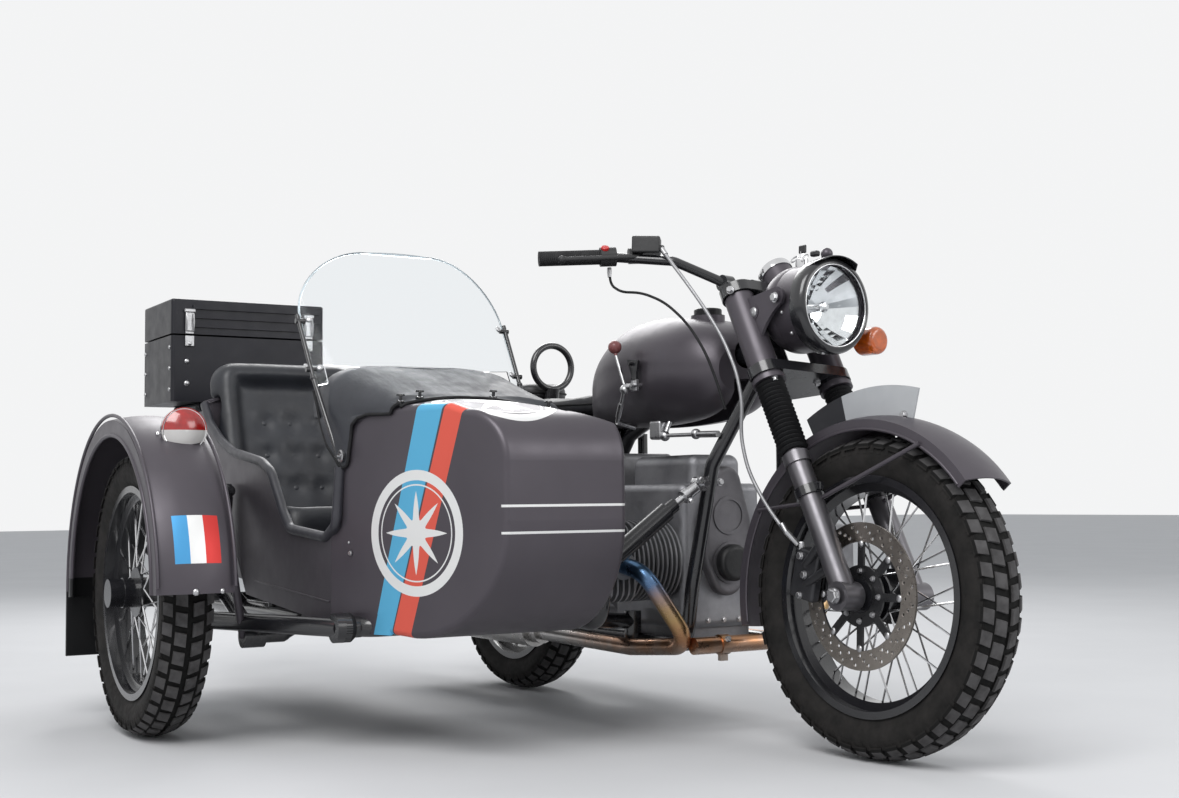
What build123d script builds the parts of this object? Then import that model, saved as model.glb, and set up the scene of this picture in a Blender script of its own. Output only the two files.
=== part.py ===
from build123d import *
import math
import os

# Sidecar motorcycle with a flat twin engine, a wire wheel on each of its three corners
# and a passenger sidecar on the rider's right.
# Millimetres. +X is forward, +Y is the rider's left and +Z is up.
# Every piece is laid out from the rear axle on the ground line of the motorcycle, and
# write() moves it so that the origin is under the middle of the whole vehicle.

# Main layout
WHEELBASE = 1491
TRACK = 1144
SIDECAR_WHEEL_LEAD = 300
ORIGIN_X = 522
ORIGIN_Y = -421

# Wheels, all three of one size
TYRE_RADIUS = 325
TYRE_WIDTH = 108
TYRE_SHOULDER_DROP = 14
RIM_FLANGE_RADIUS = 243
RIM_WIDTH = 92
RIM_WALL = 4
RIM_SEAT_DROP = 11
RIM_WELL_DROP = 28
RIM_WELL_WIDTH = 34
BEAD_CLEARANCE = 0.3
HUB_RADIUS = 34
HUB_FLANGE_RADIUS = 56
HUB_FLANGE_SPREAD = 60
HUB_FLANGE_THICKNESS = 6
HUB_LENGTH = 126
AXLE_DIAMETER = 20
BEARING_CLEARANCE = 0.05
SPOKE_COUNT = 36
SPOKE_DIAMETER = 4.5
SPOKE_CROSSING = 38
WHEEL_SIDE_GAP = 7

# Front fork and steering head
RAKE = 28
FORK_OFFSET = 50
FORK_SPACING = 200
STEER_AT_REST = 5.7
LEG_TOP = 742
LOWER_CLAMP_AT = 512
CLAMP_THICKNESS = 24
SLIDER_DIAMETER = 50
SLIDER_LENGTH = 322
STANCHION_DIAMETER = 40
GAITER_DIAMETER = 64
GAITER_RIBS = 17
GAITER_START = 330
GAITER_END = 496
COVER_DIAMETER = 66
STEM_DIAMETER = 30
HEAD_TUBE_DIAMETER = 56
HEAD_GAP = 6
AXLE_LUG_DIAMETER = 58

# Headlamp
LAMP_X = 1344
LAMP_Z = 933
LAMP_RADIUS = 96
LAMP_DEPTH = 150
LENS_RADIUS = 89
LENS_BULGE = 18
LAMP_RIM_WIDTH = 18
EAR_THICKNESS = 8
GAUGE_X = 1160
GAUGE_Z = 1030
GAUGE_DIAMETER = 70
LOCK_X = 1246
LOCK_Z = 1040
LOCK_DIAMETER = 26
LAMP_KNOB_X = 1322
LAMP_KNOB_Z = 1048
LAMP_KNOB_DIAMETER = 26

# Handlebar
BAR_DIAMETER = 22
GRIP_DIAMETER = 34
BAR_HALF_WIDTH = 395
BAR_CLAMP_Y = 45

# Front brake
DISC_RADIUS = 147.5
DISC_THICKNESS = 5
DISC_INNER_RADIUS = 108
DISC_OFFSET = 63

# Mudguards of the motorcycle
GUARD_RADIUS = 366
FRONT_GUARD_WIDTH = 132
REAR_GUARD_WIDTH = 150
GUARD_SKIRT = 34
GUARD_WALL = 3
FRONT_GUARD_FROM = 40
FRONT_GUARD_TO = 193
REAR_GUARD_FROM = 48
REAR_GUARD_TO = 196

# Motorcycle frame
FRAME_TUBE = 32
BACKBONE_TUBE = 42
RAIL_Y = 125
RAIL_Z = 196
DOWN_TUBE_X = 1012
SWING_PIVOT_X = 430
SWING_PIVOT_Z = 300
SADDLE_RAIL_Z = 704

# Engine
CYLINDER_X = 880
CYLINDER_Z = 385
CRANKCASE_HALF_WIDTH = 112
CRANKCASE_REAR_X = 660
CRANKCASE_FRONT_X = 955
COVER_DEPTH = 28
FIN_RADIUS = 92
FIN_CORE_RADIUS = 62
FIN_COUNT = 10
FIN_PITCH = 12.5
FIN_THICKNESS = 4.5
HEAD_START = 250
HEAD_LENGTH = 86
HEAD_WIDTH = 190
HEAD_HEIGHT = 176
VALVE_COVER_DEPTH = 60
PORT_FLANGE = 6

# Sidecar body, its right side narrows to the nose and its left side runs straight
BODY_LEFT_Y = -420
BODY_RIGHT_Y = -880
BODY_MIDDLE_Y = (BODY_LEFT_Y + BODY_RIGHT_Y) / 2
NOSE_X = 1209
NOSE_RIGHT_Y = -700
TAPER_START_X = 750
BODY_WALL = 8
FLOOR_Z = 292
DECK_REAR_Z = 795
DECK_NOSE_Z = 676
DECK_CROWN = 42
TAIL_X = -760
TAIL_RIGHT_Y = -820
NOSE_TOP_RADIUS = 105
NOSE_BOTTOM_RADIUS = 240
COCKPIT_FRONT_X = 778
COCKPIT_REAR_X = -150
RIM_TUBE = 20
TAIL_SEAM_X = -166
NOSE_SEAM_X = 792

# Sidecar wheel gear
SIDE_GUARD_RADIUS = 404
SIDE_GUARD_INNER_Y = -1072
SIDE_GUARD_OUTER_Y = -1238
SIDE_GUARD_SKIRT = 46
CHASSIS_TUBE = 42
CHASSIS_Z = 264
CHASSIS_LEFT_Y = -452
CHASSIS_RIGHT_Y = -846
OUTRIGGER_X = 520
SIDE_ARM_Y = -975
UPRIGHT_X = 88
SHOCK_TOP_X = 150
SHOCK_FOOT_X = 258
UPRIGHT_Y = -908
STRUT_X = 1060
STRUT_Y = -392
CHASSIS_FRONT_X = 850
CHASSIS_REAR_X = -240
STEP_HINGE_X = 826
STEP_HINGE_Y = -890

# Luggage box on the tail
BOX_FRONT_X = -460
BOX_REAR_X = -750
BOX_LEFT_Y = -425
BOX_RIGHT_Y = -880
BOX_FLOOR_Z = 815
BOX_TOP_Z = 1108
LID_HEIGHT = 100
BOX_WALL = 12
LID_GAP = 5


STEER_UP = Vector(-math.sin(math.radians(RAKE)), 0, math.cos(math.radians(RAKE)))
STEER_FORWARD = Vector(math.cos(math.radians(RAKE)), 0, math.sin(math.radians(RAKE)))
FRONT_AXLE = Vector(WHEELBASE, 0, TYRE_RADIUS)
REAR_AXLE = Vector(0, 0, TYRE_RADIUS)
SIDE_AXLE = Vector(SIDECAR_WHEEL_LEAD, -TRACK, TYRE_RADIUS)
STEER_FOOT = FRONT_AXLE - STEER_FORWARD * FORK_OFFSET
STEER_AXIS = Axis(STEER_FOOT, STEER_UP)


def rod(start, end, diameter):
    """A straight round bar between two points."""
    line = Vector(*end) - Vector(*start)
    base = Plane(Vector(*start), z_dir=line)
    return base * Cylinder(diameter / 2, line.length, align=(Align.CENTER, Align.CENTER, Align.MIN))


def bent_tube(points, diameter, bend):
    """A round tube along straight runs joined by tangent arcs."""
    path = FilletPolyline(*points, radius=bend)
    section = Plane(path @ 0, z_dir=path % 0) * Circle(diameter / 2)
    return sweep(section, path=path)


def block(x_range, y_range, z_range, edge=0):
    """A box between two corners, its edges rounded where an edge radius is given."""
    size = [abs(high - low) for low, high in (x_range, y_range, z_range)]
    middle = [(high + low) / 2 for low, high in (x_range, y_range, z_range)]
    solid = Pos(*middle) * Box(*size)
    if edge > 0:
        solid = fillet(solid.edges(), edge)
    return solid


def mirrored(solid):
    """The same piece on the other side of the motorcycle's middle plane."""
    return solid.mirror(Plane.XZ)


def on_fork(along, side=0, ahead=0):
    """A point given along the fork leg from the axle, sideways and ahead of it."""
    return FRONT_AXLE + STEER_UP * along + STEER_FORWARD * ahead + Vector(0, side, 0)


def fork_plane(along, side=0, ahead=0):
    return Plane(on_fork(along, side, ahead), x_dir=STEER_FORWARD, z_dir=STEER_UP)


def steered(solid):
    """Turns a piece of the front end to the steering angle at which the vehicle stands."""
    return solid.rotate(STEER_AXIS, STEER_AT_REST)


def write(name, solid):
    export_step(Pos(-ORIGIN_X, -ORIGIN_Y, 0) * solid, os.path.join("parts", name + ".step"))


def spin(face):
    """A ring about the Y axis from a section drawn as radius and width."""
    return revolve(face, Axis.Y, 360)


# Wheels

TREAD_DEPTH = 7
TREAD_LUGS = 18
LUG_LENGTH = 34
LUG_INNER_EDGE = 3
LUG_BEND = 24
LUG_OUTER_EDGE = 43
LUG_BEND_DROP = 2
LUG_EDGE_DROP = 11
LUG_ROOT = 17


def tread_lug(angle, side):
    """One tread block from the middle of the tyre out to its shoulder."""
    section = Polyline(
        (TYRE_RADIUS - LUG_ROOT, side * LUG_INNER_EDGE), (TYRE_RADIUS, side * LUG_INNER_EDGE),
        (TYRE_RADIUS - LUG_BEND_DROP, side * LUG_BEND), (TYRE_RADIUS - LUG_EDGE_DROP, side * LUG_OUTER_EDGE),
        (TYRE_RADIUS - LUG_ROOT - TREAD_DEPTH, side * (LUG_OUTER_EDGE - 2)), close=True,
    )
    return Rot(0, angle, 0) * extrude(Plane.XY.offset(-LUG_LENGTH / 2) * make_face(section), LUG_LENGTH)


def tyre():
    """Carcass with two staggered rows of tread blocks."""
    half = TYRE_WIDTH / 2
    seat = RIM_FLANGE_RADIUS - RIM_SEAT_DROP + BEAD_CLEARANCE
    bead = RIM_WIDTH / 2 - RIM_WALL - BEAD_CLEARANCE
    crown = TYRE_RADIUS - TREAD_DEPTH
    side = [(seat, bead), (RIM_FLANGE_RADIUS + 2, bead), (RIM_FLANGE_RADIUS + 30, half), (crown - TYRE_SHOULDER_DROP, half - 6)]
    outline = [*side, (crown, 0), *((r, -y) for r, y in reversed(side))]
    lugs = []
    pitch = 360 / TREAD_LUGS
    for number in range(TREAD_LUGS):
        lugs.append(tread_lug(number * pitch, 1))
        lugs.append(tread_lug((number + 0.5) * pitch, -1))
    return spin(make_face(Polyline(*outline, close=True))) + lugs


def wire_wheel(hub_length, hub_radius, cap_length=0):
    """Rim, spokes and hub, the axle along Y through the middle."""
    half = RIM_WIDTH / 2
    seat = RIM_FLANGE_RADIUS - RIM_SEAT_DROP
    well = RIM_FLANGE_RADIUS - RIM_WELL_DROP
    well_half = RIM_WELL_WIDTH / 2
    outer = [(RIM_FLANGE_RADIUS, half), (RIM_FLANGE_RADIUS, half - RIM_WALL), (seat, half - RIM_WALL)]
    outer += [(seat, well_half + 6), (well, well_half)]
    inner = [(well - RIM_WALL, well_half + 2), (seat - RIM_WALL, well_half + 8), (seat - RIM_WALL, half)]
    outline = outer + [(r, -y) for r, y in reversed(outer)] + [(r, -y) for r, y in reversed(inner)] + inner
    rim = spin(make_face(Polyline(*outline, close=True)))
    hub = Rot(90, 0, 0) * Cylinder(hub_radius, hub_length)
    for side in (-1, 1):
        flange = Rot(90, 0, 0) * Cylinder(HUB_FLANGE_RADIUS, HUB_FLANGE_THICKNESS)
        hub += Pos(0, side * HUB_FLANGE_SPREAD / 2, 0) * flange
    pieces = [rim]
    turn = 360 / SPOKE_COUNT
    for number in range(SPOKE_COUNT):
        side = 1 if number % 2 else -1
        lean = 1 if (number // 2) % 2 else -1
        at_rim = math.radians(number * turn)
        at_hub = math.radians(number * turn + lean * SPOKE_CROSSING)
        foot_radius = HUB_FLANGE_RADIUS - 7
        foot = Vector(foot_radius * math.cos(at_hub), side * HUB_FLANGE_SPREAD / 2, foot_radius * math.sin(at_hub))
        head_radius = well - RIM_WALL / 2
        head = Vector(head_radius * math.cos(at_rim), side * 7, head_radius * math.sin(at_rim))
        run = head - foot
        section = Plane(foot, z_dir=run) * RegularPolygon(SPOKE_DIAMETER / 2, 6)
        pieces.append(extrude(section, run.length))
    wheel = hub + pieces
    if cap_length > 0:
        cap = Rot(90, 0, 0) * Cylinder(hub_radius - 2, cap_length, align=(Align.CENTER, Align.CENTER, Align.MIN))
        wheel += Pos(0, -hub_length / 2, 0) * cap
    return wheel


def bore(solid, diameter, low, high):
    """Opens the bearing of a wheel between two places along its axle."""
    hole = Rot(-90, 0, 0) * Cylinder(diameter / 2 + BEARING_CLEARANCE, high - low, align=(Align.CENTER, Align.CENTER, Align.MIN))
    return solid - Pos(0, low, 0) * hole


def place(centre, solid):
    return Pos(*centre) * solid


SIDE_CAP_LENGTH = 32
SIDE_AXLE_END = 45
HALF_HUB = HUB_LENGTH / 2
REAR_DRUM = Pos(0, -24, 0) * Rot(90, 0, 0) * Cylinder(92, 34)

front_wheel = bore(wire_wheel(HUB_LENGTH, HUB_RADIUS), AXLE_DIAMETER, -HALF_HUB - 1, HALF_HUB + 1)
rear_wheel = bore(wire_wheel(HUB_LENGTH, HUB_RADIUS) + REAR_DRUM, AXLE_DIAMETER, -HALF_HUB - 1, HALF_HUB + 1)
side_wheel = bore(wire_wheel(HUB_LENGTH, HUB_RADIUS, SIDE_CAP_LENGTH), AXLE_DIAMETER, -SIDE_AXLE_END, HALF_HUB + 1)
rear_wheel = place(REAR_AXLE, rear_wheel)
side_wheel = place(SIDE_AXLE, side_wheel)
rear_tyre = place(REAR_AXLE, tyre())
side_tyre = place(SIDE_AXLE, tyre())


def brake_disc():
    """Drilled ring carried by a spider on the right end of the front hub."""
    ring = Rot(90, 0, 0) * (Cylinder(DISC_RADIUS, DISC_THICKNESS) - Cylinder(DISC_INNER_RADIUS, DISC_THICKNESS + 1))
    holes = []
    for row, radius in ((0, 118), (1, 128), (2, 138)):
        for number in range(24):
            angle = math.radians(15 * number + 5 * row)
            centre = (radius * math.cos(angle), 0, radius * math.sin(angle))
            holes.append(Pos(*centre) * Rot(90, 0, 0) * Cylinder(4, DISC_THICKNESS + 1))
    ring -= holes
    spider = Rot(90, 0, 0) * Cylinder(62, DISC_THICKNESS)
    for number in range(8):
        arm = Pos(86, 0, 0) * Box(58, DISC_THICKNESS, 16)
        spider += Rot(0, 45 * number, 0) * arm
    spider -= Rot(90, 0, 0) * Cylinder(HUB_RADIUS, DISC_THICKNESS + 1)
    return Pos(0, -DISC_OFFSET + DISC_THICKNESS, 0) * (ring + spider)


# Fork and steering head, drawn straight ahead and turned afterwards

def fork_sliders():
    legs = None
    for side in (-1, 1):
        y = side * FORK_SPACING / 2
        leg = rod(on_fork(0, y), on_fork(SLIDER_LENGTH, y), SLIDER_DIAMETER)
        leg += rod(on_fork(SLIDER_LENGTH - 24, y), on_fork(SLIDER_LENGTH, y), SLIDER_DIAMETER + 8)
        leg += rod(on_fork(SLIDER_LENGTH, y), on_fork(LEG_TOP, y), STANCHION_DIAMETER)
        lug = Pos(*on_fork(0, y)) * Rot(90, 0, 0) * Cylinder(AXLE_LUG_DIAMETER / 2, SLIDER_DIAMETER)
        leg += lug
        legs = leg if legs is None else legs + leg
    reach = FORK_SPACING / 2 + SLIDER_DIAMETER / 2 + 8
    axle = Pos(*FRONT_AXLE) * Rot(90, 0, 0) * Cylinder(AXLE_DIAMETER / 2, 2 * reach)
    return legs + axle


def fork_gaiters():
    """Two ribbed rubber bellows, each a comb section turned about its leg."""
    pitch = (GAITER_END - GAITER_START) / GAITER_RIBS
    inner = STANCHION_DIAMETER / 2
    outline = [(inner, 0)]
    for number in range(GAITER_RIBS):
        base = number * pitch
        outline += [(GAITER_DIAMETER / 2 - 7, base), (GAITER_DIAMETER / 2, base + pitch / 2)]
    outline += [(GAITER_DIAMETER / 2 - 7, GAITER_END - GAITER_START), (inner, GAITER_END - GAITER_START)]
    ring = revolve(Plane.XZ * make_face(Polyline(*outline, close=True)), Axis.Z, 360)
    pair = [fork_plane(GAITER_START, side * FORK_SPACING / 2) * ring for side in (-1, 1)]
    return pair[0] + pair[1]


def fork_covers():
    """Upper fork shrouds, each with the arm that holds the headlamp."""
    low = GAITER_END
    high = LEG_TOP - CLAMP_THICKNESS - 2
    both = None
    for side in (-1, 1):
        y = side * FORK_SPACING / 2
        cover = rod(on_fork(low, y), on_fork(high, y), COVER_DIAMETER)
        cover += rod(on_fork(low, y), on_fork(low + 10, y), COVER_DIAMETER + 8)
        arm = ear(side)
        cover += arm
        cover -= rod(on_fork(low - 1, y), on_fork(high + 1, y), STANCHION_DIAMETER)
        both = cover if both is None else both + cover
    return both


def ear(side):
    """Flat headlamp arm, narrowing from the fork shroud to the lamp's bolt."""
    root_low = on_fork(588)
    root_high = on_fork(704)
    bolt = Vector(LAMP_X - 60, 0, LAMP_Z + 15)
    outline = [
        Line((root_high.X, root_high.Z), (bolt.X - 8, bolt.Z + 19)),
        ThreePointArc((bolt.X - 8, bolt.Z + 19), (bolt.X + 20, bolt.Z + 3), (bolt.X + 6, bolt.Z - 20)),
        ThreePointArc((bolt.X + 6, bolt.Z - 20), (bolt.X - 36, bolt.Z - 64), (root_low.X + 14, root_low.Z)),
        Line((root_low.X + 14, root_low.Z), (root_low.X, root_low.Z)),
        Line((root_low.X, root_low.Z), (root_high.X, root_high.Z)),
    ]
    plate = extrude(Plane.XZ * make_face(outline), EAR_THICKNESS / 2, both=True)
    plate += Pos(1212, 0, 920) * Rot(90, 0, 0) * Cylinder(17, EAR_THICKNESS + 3)
    plate += Pos(bolt.X, 0, bolt.Z) * Rot(90, 0, 0) * Cylinder(12, EAR_THICKNESS + 12)
    y = side * (LAMP_RADIUS + 6 + EAR_THICKNESS / 2)
    return Pos(0, y, 0) * plate


def clamp_plate(along):
    """Fork clamp that holds both legs and the steering stem."""
    half = FORK_SPACING / 2
    shape = make_hull([
        *(Pos(0, half) * Circle(38)).edges(),
        *(Pos(0, -half) * Circle(38)).edges(),
        *(Pos(-FORK_OFFSET, 0) * Circle(34)).edges(),
    ])
    plate = extrude(fork_plane(along) * shape, CLAMP_THICKNESS)
    for side in (-1, 1):
        y = side * half
        plate -= rod(on_fork(along - 1, y), on_fork(along + CLAMP_THICKNESS + 1, y), STANCHION_DIAMETER)
    return plate


def steering_stem():
    """Both clamps and the stem that turns in the head tube."""
    top_plate = clamp_plate(LEG_TOP - CLAMP_THICKNESS)
    low_plate = clamp_plate(LOWER_CLAMP_AT)
    for side in (-1, 1):
        y = side * FORK_SPACING / 2
        low_plate -= rod(on_fork(LOWER_CLAMP_AT - 1, y), on_fork(LOWER_CLAMP_AT + CLAMP_THICKNESS + 1, y), COVER_DIAMETER)
    stem = rod(on_fork(LOWER_CLAMP_AT, 0, -FORK_OFFSET), on_fork(LEG_TOP + 14, 0, -FORK_OFFSET), STEM_DIAMETER)
    return top_plate + low_plate + stem


def dome_middle(edge, apex):
    """The middle point of an arc whose centre lies on the X axis, from its edge to its apex."""
    depth = abs(apex - edge[0])
    radius = (edge[1] ** 2 + depth ** 2) / (2 * depth)
    outward = 1 if apex > edge[0] else -1
    half_turn = math.asin(edge[1] / radius) / 2
    centre = apex - outward * radius
    return (centre + outward * radius * math.cos(half_turn), radius * math.sin(half_turn))


def headlamp_shell():
    """Deep round bowl closed at the back, with the lens let into its rim."""
    back = LAMP_X - LAMP_DEPTH
    bowl_edge = (LAMP_DEPTH - 12, LENS_RADIUS)
    bowl_apex = LAMP_DEPTH - 72
    outline = [
        Line((0, 0), (0, 58)),
        ThreePointArc((0, 58), (18, 84), (62, LAMP_RADIUS - 2)),
        Line((62, LAMP_RADIUS - 2), (LAMP_DEPTH - LAMP_RIM_WIDTH, LAMP_RADIUS)),
        Line((LAMP_DEPTH - LAMP_RIM_WIDTH, LAMP_RADIUS), (LAMP_DEPTH - LAMP_RIM_WIDTH, LAMP_RADIUS + 5)),
        Line((LAMP_DEPTH - LAMP_RIM_WIDTH, LAMP_RADIUS + 5), (LAMP_DEPTH, LAMP_RADIUS + 3)),
        Line((LAMP_DEPTH, LAMP_RADIUS + 3), (LAMP_DEPTH, LENS_RADIUS)),
        Line((LAMP_DEPTH, LENS_RADIUS), (LAMP_DEPTH - 12, LENS_RADIUS)),
        ThreePointArc(bowl_edge, dome_middle(bowl_edge, bowl_apex), (bowl_apex, 0)),
        Line((bowl_apex, 0), (0, 0)),
    ]
    bowl = Pos(back, 0, LAMP_Z) * revolve(make_face(outline), Axis.X, 360)
    bowl += rod((back + 6, 0, GAUGE_Z - 46), (GAUGE_X, 0, GAUGE_Z), GAUGE_DIAMETER)
    bowl += rod((LOCK_X + 2, 0, LOCK_Z - 20), (LOCK_X, 0, LOCK_Z), LOCK_DIAMETER)
    bowl += rod((LAMP_KNOB_X - 4, 0, LAMP_KNOB_Z - 18), (LAMP_KNOB_X - 1, 0, LAMP_KNOB_Z - 2), LAMP_KNOB_DIAMETER - 6)
    bowl += Pos(LAMP_KNOB_X, 0, LAMP_KNOB_Z) * Sphere(LAMP_KNOB_DIAMETER / 2)
    return bowl


def headlamp_lens():
    outline = [
        Line((-12, 0), (-12, LENS_RADIUS)),
        Line((-12, LENS_RADIUS), (0, LENS_RADIUS)),
        ThreePointArc((0, LENS_RADIUS), dome_middle((0, LENS_RADIUS), LENS_BULGE), (LENS_BULGE, 0)),
        Line((LENS_BULGE, 0), (-12, 0)),
    ]
    return Pos(LAMP_X, 0, LAMP_Z) * revolve(make_face(outline), Axis.X, 360)


BAR_CLAMP = Vector(1046, BAR_CLAMP_Y, 1010)
BAR_BEND = Vector(985, 150, 1056)
BAR_GRIP_START = Vector(880, 262, 1065)
BAR_END = Vector(812, BAR_HALF_WIDTH, 1052)


def handlebar():
    """One swept bar over the top clamp, held by two risers."""
    right = [(p.X, -p.Y, p.Z) for p in (BAR_END, BAR_GRIP_START, BAR_BEND, BAR_CLAMP)]
    left = [(p.X, p.Y, p.Z) for p in (BAR_CLAMP, BAR_BEND, BAR_GRIP_START, BAR_END)]
    bar = bent_tube(right + left, BAR_DIAMETER, 40)
    top = on_fork(LEG_TOP)
    for side in (-1, 1):
        y = side * BAR_CLAMP_Y
        foot = on_fork(LEG_TOP, y, -FORK_OFFSET + 4)
        bar += rod(foot, (BAR_CLAMP.X, y, BAR_CLAMP.Z), 26)
        bar += Pos(BAR_CLAMP.X, y, BAR_CLAMP.Z) * Rot(90, 0, 0) * Cylinder(BAR_DIAMETER / 2 + 8, 26)
    return bar


def on_grip(side, share):
    line = BAR_END - BAR_GRIP_START
    point = BAR_GRIP_START + line * share
    return Vector(point.X, side * point.Y, point.Z)


def grips():
    pair = None
    for side in (-1, 1):
        grip = rod(on_grip(side, 0.1), on_grip(side, 1.04), GRIP_DIAMETER)
        grip -= rod(on_grip(side, 0), on_grip(side, 1), BAR_DIAMETER)
        pair = grip if pair is None else pair + grip
    return pair


def hand_controls():
    """Switch housings, levers and the brake's fluid box, all clamped on the bar."""
    pair = None
    for side in (-1, 1):
        housing = rod(on_grip(side, -0.14), on_grip(side, 0.1), 44)
        lever_root = on_grip(side, -0.42) + Vector(26, 0, -4)
        lever_tip = on_grip(side, 0.86) + Vector(46, 0, -8)
        lever = rod(lever_root, lever_tip, 12) + Pos(*lever_tip) * Sphere(9)
        lever += rod(on_grip(side, -0.42), lever_root, 16)
        holder = rod(on_grip(side, -0.5), on_grip(side, -0.34), 36)
        unit = housing + lever + holder
        pair = unit if pair is None else pair + unit
    fluid_box = fillet(Box(64, 46, 38).edges(), 4)
    pair += Pos(940, -194, 1092) * Rot(0, 0, 47) * fluid_box
    pair += rod((950, -186, 1090), (978, -178, 1082), 16)
    pair -= handlebar()
    return pair


def guard_arc(radius, from_angle, to_angle, width, skirt, wall):
    """A wheel cover about the Y axis, crowned across with short side skirts."""
    half = width / 2
    outer = [
        Line((radius - skirt, half), (radius - 12, half)),
        ThreePointArc((radius - 12, half), (radius, 0), (radius - 12, -half)),
        Line((radius - 12, -half), (radius - skirt, -half)),
        Line((radius - skirt, -half), (radius - skirt, -half + wall)),
        Line((radius - skirt, -half + wall), (radius - 12 - wall, -half + wall)),
        ThreePointArc((radius - 12 - wall, -half + wall), (radius - wall, 0), (radius - 12 - wall, half - wall)),
        Line((radius - 12 - wall, half - wall), (radius - skirt, half - wall)),
        Line((radius - skirt, half - wall), (radius - skirt, half)),
    ]
    sweep_angle = to_angle - from_angle
    ring = revolve(make_face(outer), Axis((0, 0, 0), (0, -1, 0)), sweep_angle)
    return Rot(0, -from_angle, 0) * ring


def front_mudguard():
    guard = guard_arc(GUARD_RADIUS, FRONT_GUARD_FROM, FRONT_GUARD_TO, FRONT_GUARD_WIDTH, GUARD_SKIRT, GUARD_WALL)
    guard = place(FRONT_AXLE, guard)
    for side in (-1, 1):
        y_guard = side * (FRONT_GUARD_WIDTH / 2 + 3)
        y_leg = side * (FORK_SPACING / 2 - 8)
        for angle in (62, 150):
            a = math.radians(angle)
            tip = FRONT_AXLE + Vector((GUARD_RADIUS - 26) * math.cos(a), y_guard, (GUARD_RADIUS - 26) * math.sin(a))
            foot = on_fork(212, y_leg)
            guard += rod(foot, tip, 9)
    for side in (-1, 1):
        y = side * FORK_SPACING / 2
        guard -= rod(on_fork(0, y), on_fork(SLIDER_LENGTH, y), SLIDER_DIAMETER)
    return guard


BOARD_FROM = 77
BOARD_TO = 121


def number_board():
    """Curved blank board standing along the top of the front mudguard."""
    ring = Circle(GUARD_RADIUS + 62) - Circle(GUARD_RADIUS - 1)
    far = 900
    edges = [math.radians(angle) for angle in (BOARD_FROM, BOARD_TO)]
    wedge = make_face(Polyline((0, 0), *[(far * math.cos(a), far * math.sin(a)) for a in edges], close=True))
    board = extrude(Plane.XZ * (ring & wedge), 2, both=True)
    return place(FRONT_AXLE, board)


INDICATOR_RADIUS = 31


def front_indicators():
    """Round lamp on a stem at the left, the one at the right stands on the sidecar."""
    centre = Vector(1300, 158, 876)
    stem = rod((1250, 112, 880), centre - Vector(4, 0, 0), 12)
    lamp = Rot(0, 90, 0) * Cylinder(INDICATOR_RADIUS, 60)
    lamp = fillet(lamp.edges(), 12)
    return stem + Pos(*centre) * lamp


def brake_caliper():
    centre = FRONT_AXLE + Vector(-DISC_RADIUS * 0.93, -DISC_OFFSET + 2, 38)
    body = Pos(*centre) * Rot(0, 12, 0) * Box(70, 46, 104)
    body = fillet(body.edges(), 7)
    slot = place(FRONT_AXLE + Vector(0, -DISC_OFFSET + DISC_THICKNESS, 0), Rot(90, 0, 0) * Cylinder(DISC_RADIUS + 8, DISC_THICKNESS + 10))
    bracket_foot = on_fork(130, -FORK_SPACING / 2)
    bracket = rod(centre + Vector(0, -16, 20), bracket_foot, 20)
    low_foot = on_fork(70, -FORK_SPACING / 2)
    bracket += rod(centre + Vector(0, -16, -20), low_foot, 18)
    caliper = body + bracket - slot
    caliper -= rod(on_fork(0, -FORK_SPACING / 2), on_fork(SLIDER_LENGTH, -FORK_SPACING / 2), SLIDER_DIAMETER)
    return caliper


# Motorcycle frame and running gear

def head_tube():
    low = on_fork(LOWER_CLAMP_AT + CLAMP_THICKNESS + HEAD_GAP, 0, -FORK_OFFSET)
    high = on_fork(LEG_TOP - CLAMP_THICKNESS - HEAD_GAP, 0, -FORK_OFFSET)
    return rod(low, high, HEAD_TUBE_DIAMETER)


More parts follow.
